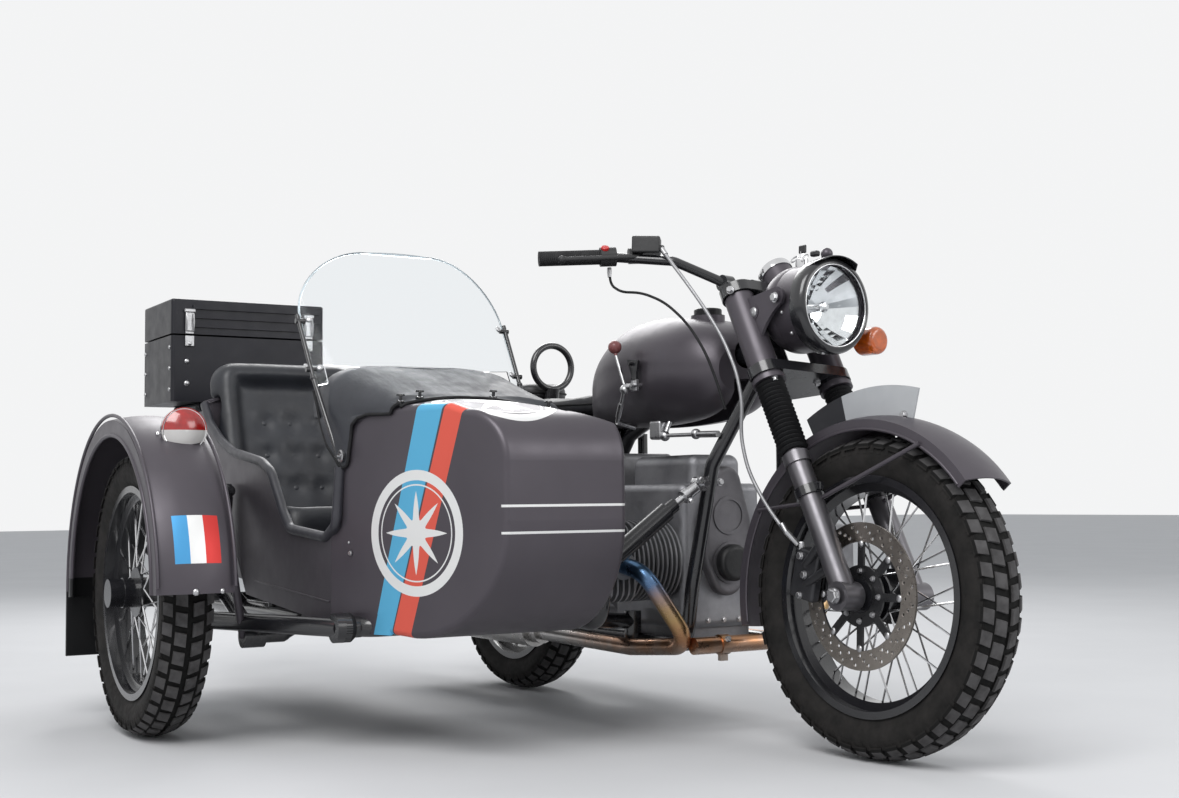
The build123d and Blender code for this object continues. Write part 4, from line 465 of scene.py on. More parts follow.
def clear(name, tint, rough, ior):
    f = Finish(name).colour(tint).set(glass=1.0, ior=ior)
    f.set(rough=f.noise(9, 5).ranged(0.35, 0.75, rough, rough + 0.05))
    return f.grain(5, 2, 0.0004, 0.1)


def lens(name, colour):
    """Coloured plastic, moulded in fine rings."""
    f = Finish(name).patchy(colour, tuple(c * 0.7 for c in colour), 60).rough(0.08, 0.16, 60)
    f.set(coat=1.0, coat_rough=0.04, glass=0.25)
    wave = f.node("TexWave", {"Vector": f.place, "Scale": 90}, 1, wave_type="RINGS")
    return f.bump(wave, 0.0005, 0.2)


BLACK = (0.009, 0.009, 0.011)
BLACK_SHADE = (0.014, 0.014, 0.016)
DARK = (0.01, 0.01, 0.012)
DEEP_BLACK = (0.008, 0.008, 0.009)


def gunmetal(name):
    """The body paint."""
    f = painted(name, (0.078, 0.069, 0.081), (0.065, 0.057, 0.068), 0.36, 0.45)
    return f.set(metal=0.45, coat=0.1, coat_rough=0.4, specular=0.5)


grey_paint = gunmetal("grey_paint")
black_paint = painted("black_paint", BLACK, BLACK_SHADE, 0.18, 0.3).set(coat=0.5, coat_rough=0.12)
case_black = painted("case_black", (0.008, 0.008, 0.012), (0.012, 0.012, 0.017), 0.34, 0.46)
case_black.set(specular=0.35)
red_button = painted("red_button", (0.5, 0.02, 0.02), (0.42, 0.015, 0.015), 0.3, 0.4)
cast_alloy = cast("cast_alloy", (0.33, 0.33, 0.345), (0.25, 0.25, 0.265))
fin_alloy = cast("fin_alloy", (0.27, 0.27, 0.28), (0.18, 0.18, 0.19), 0.45, 0.65, 0.8)
dark_alloy = cast("dark_alloy", (0.04, 0.04, 0.044), (0.028, 0.028, 0.031), 0.32, 0.48, 0.4, 0.00012)
slider_grey = cast("slider_grey", (0.17, 0.163, 0.175), (0.13, 0.125, 0.135), 0.3, 0.4, 0.8, 0.00008)
chrome = bright("chrome", (0.72, 0.72, 0.73), 0.07, 0.16)
zinc = bright("zinc_fasteners", (0.5, 0.5, 0.51), 0.25, 0.42)
reflector = bright("lamp_reflector", (0.88, 0.89, 0.9), 0.02, 0.07)
rubber = rubbery("rubber", DEEP_BLACK, (0.013, 0.013, 0.014)).set(specular=0.3)
plastic = rubbery("moulded_black", (0.013, 0.013, 0.014), (0.02, 0.02, 0.021), 0.42, 0.58).set(specular=0.5)
seat_leather = leather("seat_leather", (0.013, 0.014, 0.018), (0.022, 0.024, 0.03), 0.36, 0.52)
saddle_leather = leather("saddle_leather", (0.010, 0.010, 0.012), (0.016, 0.016, 0.019), 0.4, 0.55)
acrylic = clear("clear_acrylic", (0.93, 0.955, 0.97), 0.015, 1.15)
edge_acrylic = clear("acrylic_edge", (0.80, 0.88, 0.92), 0.12, 1.3)
lamp_glass = clear("lamp_glass", (0.97, 0.985, 0.99), 0.0, 1.12)
amber = lens("amber_lens", (0.75, 0.14, 0.01))
blue_glass = lens("blue_glass", (0.02, 0.2, 0.48))
dark_rim = Finish("dark_rim").patchy((0.034, 0.034, 0.041), (0.026, 0.026, 0.033), 30)
dark_rim.rough(0.34, 0.46, 60).grain(220, 3, 0.0001, 0.2)
cowl_vinyl = Finish("cowl_vinyl").patchy((0.028, 0.030, 0.036), (0.04, 0.042, 0.05), 7)
cowl_vinyl.rough(0.42, 0.58, 30).grain(650, 4, 0.00018, 0.5)
cowl_vinyl.bump(cowl_vinyl.noise(20, 3, 0.5, (1, 2.4, 1)), 0.004, 0.3)

# in metres, except for the crown, which is how much the tread's radius falls towards the shoulders, per metre
TREAD_CROWN = 4.77
TREAD_TOP_RADIUS = (0.3203, 0.3214)
TREAD_FLOOR_RADIUS = 0.3150
HUB_RADIUS = 0.0575
RIM_INNER_RADIUS = 0.2085
CARRIER_RADIUS = 0.1085


def tyre_finish(name, centre, axis):
    """Dark rubber, with painted light in grey on top of the tread blocks and painted shade in black between
    them.
    """
    f = rubbery(name, (0.011, 0.0105, 0.010), (0.022, 0.020, 0.019), 0.72, 0.9).set(specular=0.2)
    side = f.along(centre, axis)
    crown = side * side * TREAD_CROWN + f.from_axis(centre, axis)
    # painted shade: deeper black in the grooves between the tread blocks
    f.overlay(crown.within(TREAD_FLOOR_RADIUS, TREAD_TOP_RADIUS[0]), (0.006, 0.0058, 0.0056))
    # painted light: the tops of the tread blocks are made lighter grey, in uneven patches
    painted_light_patches = f.noise(38, 4).ranged(0.3, 0.62, 0.45, 1)
    return f.overlay(crown.ranged(*TREAD_TOP_RADIUS, 0, 1) * painted_light_patches, (0.085, 0.082, 0.083))


def wheel_finish(name, centre, axis):
    """Black enamelled rim and hub with bright spokes between them."""
    f = painted(name, BLACK, (0.015, 0.015, 0.017), 0.16, 0.28).set(coat=0.5, coat_rough=0.1)
    spokes = f.from_axis(centre, axis).within(HUB_RADIUS, RIM_INNER_RADIUS)
    return f.overlay(spokes, (0.62, 0.62, 0.63)).set(metal=spokes)


def disc_finish():
    """Bronze-grey friction ring on a black carrier."""
    f = Finish("brake_disc_steel").patchy((0.34, 0.31, 0.28), (0.26, 0.235, 0.21), 18)
    ring = f.from_axis(FRONT_AXLE, FRONT_SIDE) > CARRIER_RADIUS
    f.colour(f.mixed(ring, (0.012, 0.012, 0.013), f.last)).set(metal=ring)
    return f.rough(0.25, 0.36, 120).grain(500, 3, 0.00004, 0.4)


PIPE_PLAIN_X = (560, 760)
PIPE_HEAT_Z = (0.17, 0.385)
# columns: share of the way up the pipe, colour
HEAT_COLOURS = ((0.0, (0.36, 0.30, 0.26)), (0.2, (0.42, 0.22, 0.12)), (0.45, (0.45, 0.30, 0.14)),
                (0.66, (0.33, 0.25, 0.24)), (0.8, (0.12, 0.2, 0.34)), (1.0, (0.1, 0.19, 0.32)))


def tinted_pipe():
    """Exhaust steel, blue at the heads, then gold and copper, then plain."""
    f = Finish("heat_tinted_steel")
    wander = f.axis("Z").ranged(*PIPE_HEAT_Z, 0, 1) + f.noise(26).ranged(0.3, 0.7, -0.06, 0.06)
    tint = f.node("ValToRGB", {0: wander})
    stops = tint.socket.node.color_ramp.elements
    while len(stops) < len(HEAT_COLOURS):
        stops.new(0.5)
    for stop, (position, colour) in zip(stops, HEAT_COLOURS):
        stop.position = position
        stop.color = (*colour, 1)
    plain = f.axis("X").ranged(*[x_at(x) for x in PIPE_PLAIN_X], 1, 0)
    f.colour(f.mixed(plain, tint, (0.42, 0.41, 0.4))).set(metal=1.0)
    return f.rough(0.24, 0.34, 30).grain(160, 2, 0.00001, 0.15)


LAMP_BASE_X = (-24, 512)
LAMP_SPLIT_X = (0, 500)
LAMP_SPLIT_Z = (650, 687)


def two_colour_lens():
    """Red over clear, on a black base between the two lamps' lenses."""
    f = lens("two_colour_lens", (0.5, 0.012, 0.01))
    x = f.axis("X")
    split = x.ranged(*[x_at(x) for x in LAMP_SPLIT_X], *[z / 1000 for z in LAMP_SPLIT_Z])
    f.overlay(f.axis("Z") < split, (0.72, 0.70, 0.68))
    return f.overlay(x.within(*[x_at(x) for x in LAMP_BASE_X]), DARK)


RIB_PITCH = 0.004


def ribbed_rubber():
    """Handlebar grips with fine ribs around them."""
    f = rubbery("ribbed_rubber", (0.010, 0.010, 0.011), (0.016, 0.016, 0.017)).set(specular=0.35)
    return f.bump(f.math("SINE", f.along((0, 0, 0), FRONT_SIDE) * (2 * pi / RIB_PITCH)), 0.0008, 0.8)


def braided():
    """Silver-grey hose with a fine woven skin."""
    f = bright("braided_hose", (0.34, 0.34, 0.35), 0.35, 0.5, 0.6)
    return f.bump(f.cells(900), 0.0004, 0.7)


# places in millimetres, radii in metres
STRUT_BRIGHT = ((1081, -149, 566), (1077, -174, 522))
STRUT_BRIGHT_RADIUS = 0.032
KNOB_AT = (796, -188, 884)
KNOB_RADIUS = 0.021
LEVER_PLATE_AT = (846, -168, 838)
LEVER_PLATE_RADIUS = 0.036
COVER_FROM_X = 956
CAP_FROM_X = 989
CAP_Z = 378
CAP_RADIUS = 0.0425
FILLER_AT = (912, 0, 966)
FILLER_RADIUS = 0.04
FILLER_FROM_Z = 954.5
TAIL_LENS_X = -372
TAIL_BRACKET_X = -380
TAIL_PLATE_Z = 443
BOARD_DARK_FROM = radians(106)


def strut_finish():
    """Black tube with a bright threaded end and fork."""
    f = painted("strut_enamel", BLACK, BLACK_SHADE, 0.2, 0.32)
    first, second = [f.near(at(*place), STRUT_BRIGHT_RADIUS) for place in STRUT_BRIGHT]
    ends = first | second
    return f.overlay(ends, (0.5, 0.5, 0.51)).set(metal=ends)


def engine_finish():
    """Grey castings with a darker rough front cover and a black round cap."""
    f = cast("engine_castings", (0.31, 0.31, 0.325), (0.23, 0.23, 0.245))
    x = f.axis("X")
    f.overlay(x > x_at(COVER_FROM_X), (0.16, 0.155, 0.165))
    cap = (x > x_at(CAP_FROM_X)) * (f.from_axis(at(0, 0, CAP_Z), FORWARD) < CAP_RADIUS)
    f.overlay(cap, (0.006, 0.006, 0.007))
    return f.set(metal=f.math("SUBTRACT", 1.0, cap) * 0.8).grain(260, 5, 0.0006, 0.5)


def tank_finish():
    """Body paint with a black filler cap."""
    f = gunmetal("tank_paint")
    cap = (f.axis("Z") > FILLER_FROM_Z / 1000) * (f.from_axis(at(*FILLER_AT), UP) < FILLER_RADIUS)
    return f.overlay(cap, DEEP_BLACK)


def tail_finish():
    """Red lens, black bracket and a pale blank plate."""
    f = lens("tail_lamp_lens", (0.4, 0.012, 0.01))
    x = f.axis("X")
    low = f.axis("Z") < TAIL_PLATE_Z / 1000
    f.overlay(low, (0.62, 0.62, 0.6))
    return f.overlay(low * (x > x_at(TAIL_BRACKET_X)) | (x > x_at(TAIL_LENS_X)), (0.01, 0.01, 0.011))


def lever_finish():
    """Bright rods and joints, a black plate and a worn red knob."""
    f = bright("lever_steel", (0.5, 0.5, 0.51), 0.25, 0.4)
    knob = f.near(at(*KNOB_AT), KNOB_RADIUS)
    plate = f.near(at(*LEVER_PLATE_AT), LEVER_PLATE_RADIUS)
    f.overlay(plate, DARK).overlay(knob, (0.22, 0.07, 0.07))
    return f.set(metal=f.math("SUBTRACT", 1.0, knob | plate))


def board_finish():
    """Pale blank board with its rear part dark."""
    f = Finish("number_board_enamel").patchy((0.46, 0.47, 0.48), (0.40, 0.41, 0.425), 8)
    direction = STEER_TURN @ Vector((sin(BOARD_DARK_FROM), 0, -cos(BOARD_DARK_FROM)))
    f.overlay(f.along(FRONT_AXLE, direction) < 0.0, (0.03, 0.03, 0.034))
    return f.rough(0.35, 0.5, 30).grain(600, 3, 0.00004, 0.3)


# Painted stripes on the right of the nose; columns: X at the foot and at the top of both edges, colour
STRIPE_LOW_Z = 256
STRIPE_HIGH_Z = 676
STRIPES = ((((870, 976), (918, 1041)), (0.10, 0.42, 0.66)), (((921, 1046), (969, 1094)), (0.72, 0.105, 0.07)))
# in metres: how far the paint of the panel reaches behind its plane and before it
PANEL_DEPTH = (-0.012, 0.01)
FRONT_LINE_Z = (515, 462)
FRONT_LINE_WIDTH = 5
NOSE_PAINT_FROM_X = 1197
SIDE_BADGE_AT = (983, -789, 461)
SIDE_BADGE_DEPTH = 0.012
DECK_BADGE_AT = (1045, -640, 700)
DECK_BADGE_DEPTH = 0.05


def nose_finish():
    """Body paint with the two slanted stripes, the front lines and plain round badges."""
    f = gunmetal("nose_paint")
    x = f.axis("X")
    z = f.axis("Z")
    outward = f.along(at(*PANEL_START, 0), PANEL_NORMAL)
    on_panel = outward.within(*PANEL_DEPTH) * f.faces(PANEL_NORMAL)
    rise = z - STRIPE_LOW_Z / 1000
    for edges, colour in STRIPES:
        rear, front = [x - rise * ((top - foot) / (STRIPE_HIGH_Z - STRIPE_LOW_Z)) - x_at(foot)
                       for foot, top in edges]
        f.overlay((rear > 0.0) * (front < 0.0) * on_panel, colour)
    ahead = (x > x_at(NOSE_PAINT_FROM_X)) * f.faces(FORWARD)
    for line in FRONT_LINE_Z:
        half = FRONT_LINE_WIDTH / 2
        f.overlay(ahead * z.within((line - half) / 1000, (line + half) / 1000), WHITE)
    f.badge(at(*SIDE_BADGE_AT), PANEL_DIRECTION, UP, PANEL_NORMAL, SIDE_BADGE_DEPTH, on_panel)
    on_deck = (outward < PANEL_DEPTH[0]) * f.faces(UP)
    return f.badge(at(*DECK_BADGE_AT), LEFT, FORWARD, UP, DECK_BADGE_DEPTH, on_deck)


# The three-colour flash on the front of the sidecar's mudguard: Y of its edges, angles up from the front
FLASH_EDGES = (-1199, -1167, -1134, -1101)
FLASH_ANGLES = (radians(11), radians(26))
FLASH_FROM = 0.3
FLASH_COLOURS = ((0.06, 0.30, 0.58), WHITE, (0.60, 0.035, 0.03))
FLAP_TOP_Z = 345


def side_guard_finish():
    """Body paint with the flash in front and a black flap behind."""
    f = gunmetal("side_guard_paint")
    y = f.axis("Y")
    low, high = [f.along(SIDE_AXLE, (-sin(a), 0, cos(a))) for a in FLASH_ANGLES]
    forward = f.along(SIDE_AXLE, FORWARD) > FLASH_FROM
    band = (low > 0.0) * (high < 0.0) * forward * f.faces(FORWARD)
    for first, second, colour in zip(FLASH_EDGES, FLASH_EDGES[1:], FLASH_COLOURS):
        f.overlay(band * y.within(y_at(first), y_at(second)), colour)
    return f.overlay((f.axis("Z") < FLAP_TOP_Z / 1000) * (f.axis("X") < SIDE_AXLE.x), DEEP_BLACK)


nose_paint = nose_finish()
tyre_finishes = {}
CAD_FINISHES = [
    (black_paint, "steering_stem handlebar motorcycle_frame swing_arm rear_shocks saddle_mounts"),
    (black_paint, "windscreen_stays sidecar_frame sidecar_swing_arm step_board"),
    (grey_paint, "fork_covers headlamp_shell front_mudguard rear_mudguard tub tail cockpit_rim"),
    (rubber, "fork_gaiters throttle_cable"), (fin_alloy, "cylinder_left cylinder_right intake"),
    (saddle_leather, "rider_saddle pillion_saddle"), (case_black, "luggage_box luggage_lid"),
    (slider_grey, "fork_sliders"), (lamp_glass, "headlamp_lens"), (ribbed_rubber(), "grips"),
    (plastic, "hand_controls"), (board_finish(), "number_board"), (amber, "front_indicators"),
    (dark_alloy, "brake_caliper"), (braided(), "brake_hose"), (disc_finish(), "brake_disc"),
    (engine_finish(), "engine_block"), (cast_alloy, "gearbox"), (tinted_pipe(), "exhaust"),
    (tank_finish(), "fuel_tank"), (tail_finish(), "tail_lamp"), (zinc, "steering_damper"),
    (lever_finish(), "hand_lever"), (nose_paint, "nose"), (seat_leather, "cockpit_seat"),
    (cowl_vinyl, "cowl"), (acrylic, "windscreen"), (side_guard_finish(), "sidecar_mudguard"),
    (two_colour_lens(), "sidecar_lamps"), (strut_finish(), "sidecar_struts"),
]
for name, (axle, side, body) in WHEELS.items():
    tyre_finishes[name] = tyre_finish(name + "_tyre_rubber", axle, side)
    CAD_FINISHES.append((tyre_finishes[name], name + "_tyre"))
    CAD_FINISHES.append((wheel_finish(name + "_wheel_enamel", axle, side), name + "_wheel"))
for finish, names in CAD_FINISHES:
    for name in names.split():
        nodes[name].data.materials.clear()
        nodes[name].data.materials.append(finish.material)


# Tyres with a block tread

TREAD_BLOCKS = 46
CARCASS_STEPS = 120
# columns: radius and half width of the carcass, out to the top
CARCASS = ((234, 40), (246, 42), (258, 49), (274, 53.2), (288, 53.5), (300, 51), (309, 46), (314, 36),
           (316.7, 20), (317.5, 0))
# columns: middle of the block across, half width, half length as a share of the pitch, phase, outer radius
TREAD_ROWS = ((-46, 9.5, 0.33, 0.5, 312.5), (-18.5, 12, 0.34, 0.0, 322.6), (18.5, 12, 0.34, 0.5, 322.6),
              (46, 9.5, 0.33, 0.0, 312.5))
# columns: height over the outer radius, size as a share of the block's
BLOCK_LAYERS = ((-9, 1.12), (0, 0.94))
BLOCK_CORNERS = ((-1, -1), (1, -1), (1, 1), (-1, 1))
BLOCK_FACES = ((0, 1, 2, 3), (4, 7, 6, 5), (0, 4, 5, 1), (1, 5, 6, 2), (2, 6, 7, 3), (3, 7, 4, 0))
BLOCK_FALL = 0.775 / 60
BLOCK_LEAN = 0.06
# columns: radius, distance across, side of the lug's middle
LUG_FACE = ((286, 54.2, -1), (303, 51.4, -1), (303, 51.4, 1), (286, 54.2, 1))
LUG_DEPTH = 2
LUG_SHARE = 0.12


def tyre(name, body, centre, axis, node, finish):
    """Worn rounded carcass with four rows of tread blocks, and lugs on its sides."""
    across = (FORWARD - axis * FORWARD.dot(axis)).normalized()
    third = across.cross(axis)
    pitch = 2 * pi / TREAD_BLOCKS

    def point(angle, radius, side):
        ray = across * cos(angle) + third * sin(angle)
        return centre + (ray * radius + axis * side) / 1000

    section = [*CARCASS, *((r, -s) for r, s in reversed(CARCASS[:-1]))]
    rings = [[point(a, r, s) for r, s in section] for a in full_turn(CARCASS_STEPS)]
    shape = Shape().strip(rings + rings[:1])
    for middle, half_width, half_length, phase, radius in TREAD_ROWS:
        for k in range(TREAD_BLOCKS):
            corners = []
            for height, swell in BLOCK_LAYERS:
                for ds, da in BLOCK_CORNERS:
                    s = middle + ds * half_width * swell
                    fall = (abs(s) - abs(middle)) * abs(middle) * BLOCK_FALL
                    share = k + phase + da * half_length * swell + ds * copysign(BLOCK_LEAN, middle)
                    corners.append(point(share * pitch, radius + height - fall, s))
            shape.add(corners, BLOCK_FACES)
    for k in range(2 * TREAD_BLOCKS):
        for side in (-1, 1):
            shape.add([point((k / 2 + d * LUG_SHARE) * pitch, r, side * (s - inset))
                       for inset in (0, LUG_DEPTH) for r, s, d in LUG_FACE], BLOCK_FACES)
    made = shape.make(name, body, finish, 38, "tyre")
    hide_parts(node)


for name, (axle, side, body) in WHEELS.items():
    tyre(name + "_tyre_tread", body, axle, side, name + "_tyre", tyre_finishes[name])


# Vinyl cover over the front of the cockpit

COVER_REAR_X = 664
COVER_FRONT_X = 948
COVER_STATIONS = 60
COVER_TURNS = 75
COVER_DECK_Z = 708
# share of the turn that the flap on the right takes, and the front edge's sweep there
FLAP_SHARE = 0.16
COVER_EDGE_SWEEP = 95
COVER_SWEEP_SHARE = 0.34
COVER_THICK = 0.003
# columns: x, z of the cover's right edge, from the cockpit to the front seam
COVER_FLAP = ((664, 770), (680, 746), (700, 712), (722, 682), (745, 652), (768, 622), (780, 605), (790, 598),
              (800, 602), (807, 618), (811, 657), (818, 688), (834, 703), (860, 709), (948, 706))
# columns: x, z along the middle of the cover
COVER_TOP = ((664, 804), (680, 822), (700, 828), (740, 824), (790, 806), (850, 782), (900, 760), (948, 740))
CREASE_SCALE = Vector((0.009, 0.018, 0.011))
CREASE_HEIGHT = 3
FOLD_SCALE = Vector((0.06, 0, 0.035))
FOLD_HEIGHT = 2.6
COVER_SAG = 3
# columns: stations before the front seam, how far they are laid on the nose
SEAM_ROWS = ((0, 1.0), (1, 0.8), (2, 0.6), (3, 0.4), (4, 0.2))
SEAM_LIFT = 0.0035
SEAM_FROM_Z = 1.0
STUD_TURNS = (0.3, 0.46, 0.6, 0.8)
STUD = [(0, 0), (0.009, 0), (0.008, 0.003), (0.0035, 0.004), (0.0035, 0.012), (0.005, 0.013), (0.004, 0.016),
        (0, 0.016)]
CLASP_X = 789
CLASP_Z = 623
CLASP = [(0, 0.004), (0.006, 0.004), (0.0065, 0.001), (0.012, 0.002), (0.0155, 0), (0.0155, -0.006)]


def traced(table, x):
    """A value between the rows of a two-column table."""
    for (x0, z0), (x1, z1) in zip(table, table[1:]):
        if x <= x1:
            return z0 + (z1 - z0) * max(0.0, (x - x0) / (x1 - x0))
    return table[-1][1]


def body_side(x):
    """The right side of the body at a station, straight at first and then narrowing to the nose."""
    return BODY_RIGHT_Y + max(0, x - PANEL_START[0]) * PANEL_DIRECTION.y / PANEL_DIRECTION.x


def cover_point(x, turn):
    """A place on the cover at a station x and at a turn from 0 on the right edge to 1 on the left."""
    side_z = traced(COVER_FLAP, x)
    side_y = body_side(x) - 5
    if turn < FLAP_SHARE:
        return Vector((x, side_y, side_z + (COVER_DECK_Z - side_z) * turn / FLAP_SHARE))
    angle = pi * (turn - FLAP_SHARE) / (1 - FLAP_SHARE)
    across = -copysign(abs(cos(angle)) ** 0.5, cos(angle))
    rise = sin(angle) ** 0.5
    half = BODY_MIDDLE_Y - side_y if across < 0 else BODY_LEFT_Y + 3 - BODY_MIDDLE_Y
    z = COVER_DECK_Z + (traced(COVER_TOP, x) - COVER_DECK_Z) * rise
    return Vector((x, BODY_MIDDLE_Y + across * half, z))


def cover_rows():
    """Rows of places over the cover, with its creases, laid on the nose along the front seam."""
    rows = []
    for i in range(COVER_STATIONS + 1):
        row = []
        for turn in spread(0, 1, COVER_TURNS):
            front = COVER_FRONT_X - COVER_EDGE_SWEEP * max(0.0, 1 - turn / COVER_SWEEP_SHARE) ** 2
            place = cover_point(COVER_REAR_X + (front - COVER_REAR_X) * i / COVER_STATIONS, turn)
            crease = noise.noise(place * CREASE_SCALE) * CREASE_HEIGHT
            if turn < FLAP_SHARE:
                flap = min(1.0, 2 - 2 * turn / FLAP_SHARE)
                place.y -= abs(crease + FOLD_HEIGHT * sin(place.dot(FOLD_SCALE)) * flap)
            else:
                place.z += crease * 0.8 - COVER_SAG * sin(pi * i / COVER_STATIONS) ** 2
            row.append(at(*place))
        rows.append(row)
    for back, share in SEAM_ROWS:
        for place in rows[-1 - back][int(COVER_TURNS * FLAP_SHARE):]:
            above = (place.x, min(place.y, y_at(BODY_LEFT_Y - 2)), SEAM_FROM_Z)
            hit = touch("nose", above, -UP)[0]
            if hit.z < SEAM_FROM_Z:
                place.z += (hit.z + SEAM_LIFT - place.z) * share
    return rows


def cover():
    rows = cover_rows()
    sheet = Shape().strip(rows).make("cover_sheet", "root", cowl_vinyl, 80, "black_vinyl", COVER_THICK, 1)
    edge = [row[0] for row in rows] + rows[-1][1:-1]
    Shape().tube(edge, 0.0036, 10).make("cover_piping", "root", rubber, 60, "black_vinyl")
    studs = Shape()
    for turn in STUD_TURNS:
        place = rows[-3][int(turn * COVER_TURNS)] + UP * COVER_THICK
        studs.lathe(STUD, place, (0.1, 0, 1), 16)
        studs.box(place + UP * 0.014, (0.005, 0.018, 0.004), None, 0.001)
    studs.make("cover_studs", "root", black_paint, 35, "black_plastic")
    clasp = Shape().lathe(CLASP, at(CLASP_X, body_side(CLASP_X) - 11, CLASP_Z), PANEL_NORMAL, 28)
    clasp.box(at(CLASP_X + 2, body_side(CLASP_X) - 17, CLASP_Z), (0.016, 0.008, 0.005), None, 0.0015)
    clasp.make("cover_clasp", "root", zinc)
    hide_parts("cowl")


# columns: x, z of the rolled entry edge; the last place turns inward along the front of the opening
RIM_PATH = ((-150, 788), (-104, 738), (-10, 688), (90, 654), (306, 624), (369, 600), (454, 504), (502, 466),
            (722, 450), (778, 478), (780, 600))
RIM_BEND = 40
RIM_RADIUS = 0.0112


def rolled_rim():
    """The rolled edge of the entry, with each bend eased into a curve."""
    corners = [Vector((x, BODY_RIGHT_Y, z)) for x, z in RIM_PATH]
    corners[-1].y += 8
    line = [corners[0]]
    for before, corner, after in zip(corners, corners[1:], corners[2:]):
        back, on = [corner + way.normalized() * min(RIM_BEND, way.length * 0.45)
                    for way in (before - corner, after - corner)]
        line += [back, corner, on]
    line.append(corners[-1])
    for _ in range(3):
        cut = [a.lerp(b, share) for a, b in zip(line, line[1:]) for share in (0.25, 0.75)]
        line = [line[0], *cut, line[-1]]
    rim = Shape().tube([at(*place) for place in line], RIM_RADIUS, 16).make(
        "rolled_rim", "root", dark_rim, 60, "grey_paint")
    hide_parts("cockpit_rim")


cover()
rolled_rim()


# Edge and bolts of the windscreen

SCREEN_BASE_X = 753
SCREEN_BASE_Z = 815
SCREEN_LEAN = radians(30)
SCREEN_RADIUS = 640
SCREEN_HALF_WIDTH = 253
SCREEN_FOOT = 8
SCREEN_HEIGHT = 332
SCREEN_CORNER = 160
SCREEN_BOLT_Y = 237
SCREEN_BOLT_Z = (30, 160)


def on_screen(y, z, behind):
    """A place on the bent windscreen, a little behind its front face."""
    x = sqrt(SCREEN_RADIUS ** 2 - y ** 2) - SCREEN_RADIUS + behind
    return at(SCREEN_BASE_X + x * cos(SCREEN_LEAN) - z * sin(SCREEN_LEAN), BODY_MIDDLE_Y + y,
              SCREEN_BASE_Z + z * cos(SCREEN_LEAN) + x * sin(SCREEN_LEAN))


def screen_edge():
    """Polished edge of the clear sheet, up one side, over the top and down the other."""
    inner, top = SCREEN_HALF_WIDTH - SCREEN_CORNER, SCREEN_HEIGHT - SCREEN_CORNER
    outline = [(-SCREEN_HALF_WIDTH, z) for z in spread(SCREEN_FOOT, top, 12)]
    outline += [(SCREEN_CORNER * cos(a) - inner, SCREEN_CORNER * sin(a) + top)
                for a in spread(pi, pi / 2, 16)[1:]]
    outline += [(-y, z) for y, z in reversed(outline)]
    edge = Shape().tube([on_screen(y, z, -2) for y, z in outline], 0.0027, 8)
    edge.make("screen_edge", "root", edge_acrylic, 60, "clear_acrylic")
    bolts = Shape()
    for y in (-SCREEN_BOLT_Y, SCREEN_BOLT_Y):
        out = Vector((cos(SCREEN_LEAN), copysign(0.4, y), sin(SCREEN_LEAN)))
        for z in SCREEN_BOLT_Z:
            bolts.button(on_screen(y, z, 1), out, 0.0075, 0.004)
    bolts.make("screen_bolts", "root", zinc)


screen_edge()


# Headlamp, with its pressed reflector, ring and instruments

LAMP_FORWARD = STEER_TURN @ FORWARD
REFLECTOR_X = (1275, 1330)
REFLECTOR_RADIUS = (10, 86)
# columns: x, radius
BULB_SOCKET = ((1272, 0), (1272, 10), (1284, 8), (1300, 8), (1304, 5), (1306, 0))
BULB = ((1308, 0), (1309, 9), (1314, 12), (1318, 9), (1320, 0))
LAMP_RING = ((1316, 99), (1316, 103), (1330, 104.5), (1342, 104), (1349, 101), (1353, 96), (1354, 91),
             (1351, 88.5), (1346, 89.5), (1344, 96), (1330, 99), (1316, 99))
RING_EDGE_AT = (1351.5, 88.2)
RING_EDGE_RADIUS = 1.6
# columns: x, radius, half the angle that the peak covers
LAMP_PEAK = ((1334, 104, 44), (1350, 105, 36), (1360, 105.5, 31), (1366, 104.5, 28))
GAUGE_AT = (1160, 0, 1030)
GAUGE_AXIS = STEER_TURN @ Vector((-0.656, 0, 0.755))
GAUGE_RING = [(0.034, -0.012), (0.0375, -0.012), (0.0385, 0.0), (0.037, 0.004), (0.033, 0.006),
              (0.0315, 0.004), (0.0315, -0.002)]
GAUGE_GLASS = [(0.0325, 0.001), (0.031, 0.006), (0.025, 0.011), (0.015, 0.0145), (0.006, 0.0155), (0, 0.0156)]
LOCK = [(0, 0.006), (0.008, 0.006), (0.0135, 0.003), (0.0145, -0.004), (0.0145, -0.02)]
# columns: x, y and tilt of the rings on the key
KEY_RINGS = ((1233, -10, 0.5), (1225, -4, -0.3), (1262, -8, 0.2))


def about_lamp(shape, pairs, sides):
    """Turns (x, radius) pairs in millimetres about the headlamp's axis."""
    profile = [(radius / 1000, (x - LAMP_X) / 1000) for x, radius in pairs]
    return shape.lathe(profile, turned(LAMP_X, 0, LAMP_Z), LAMP_FORWARD, sides)


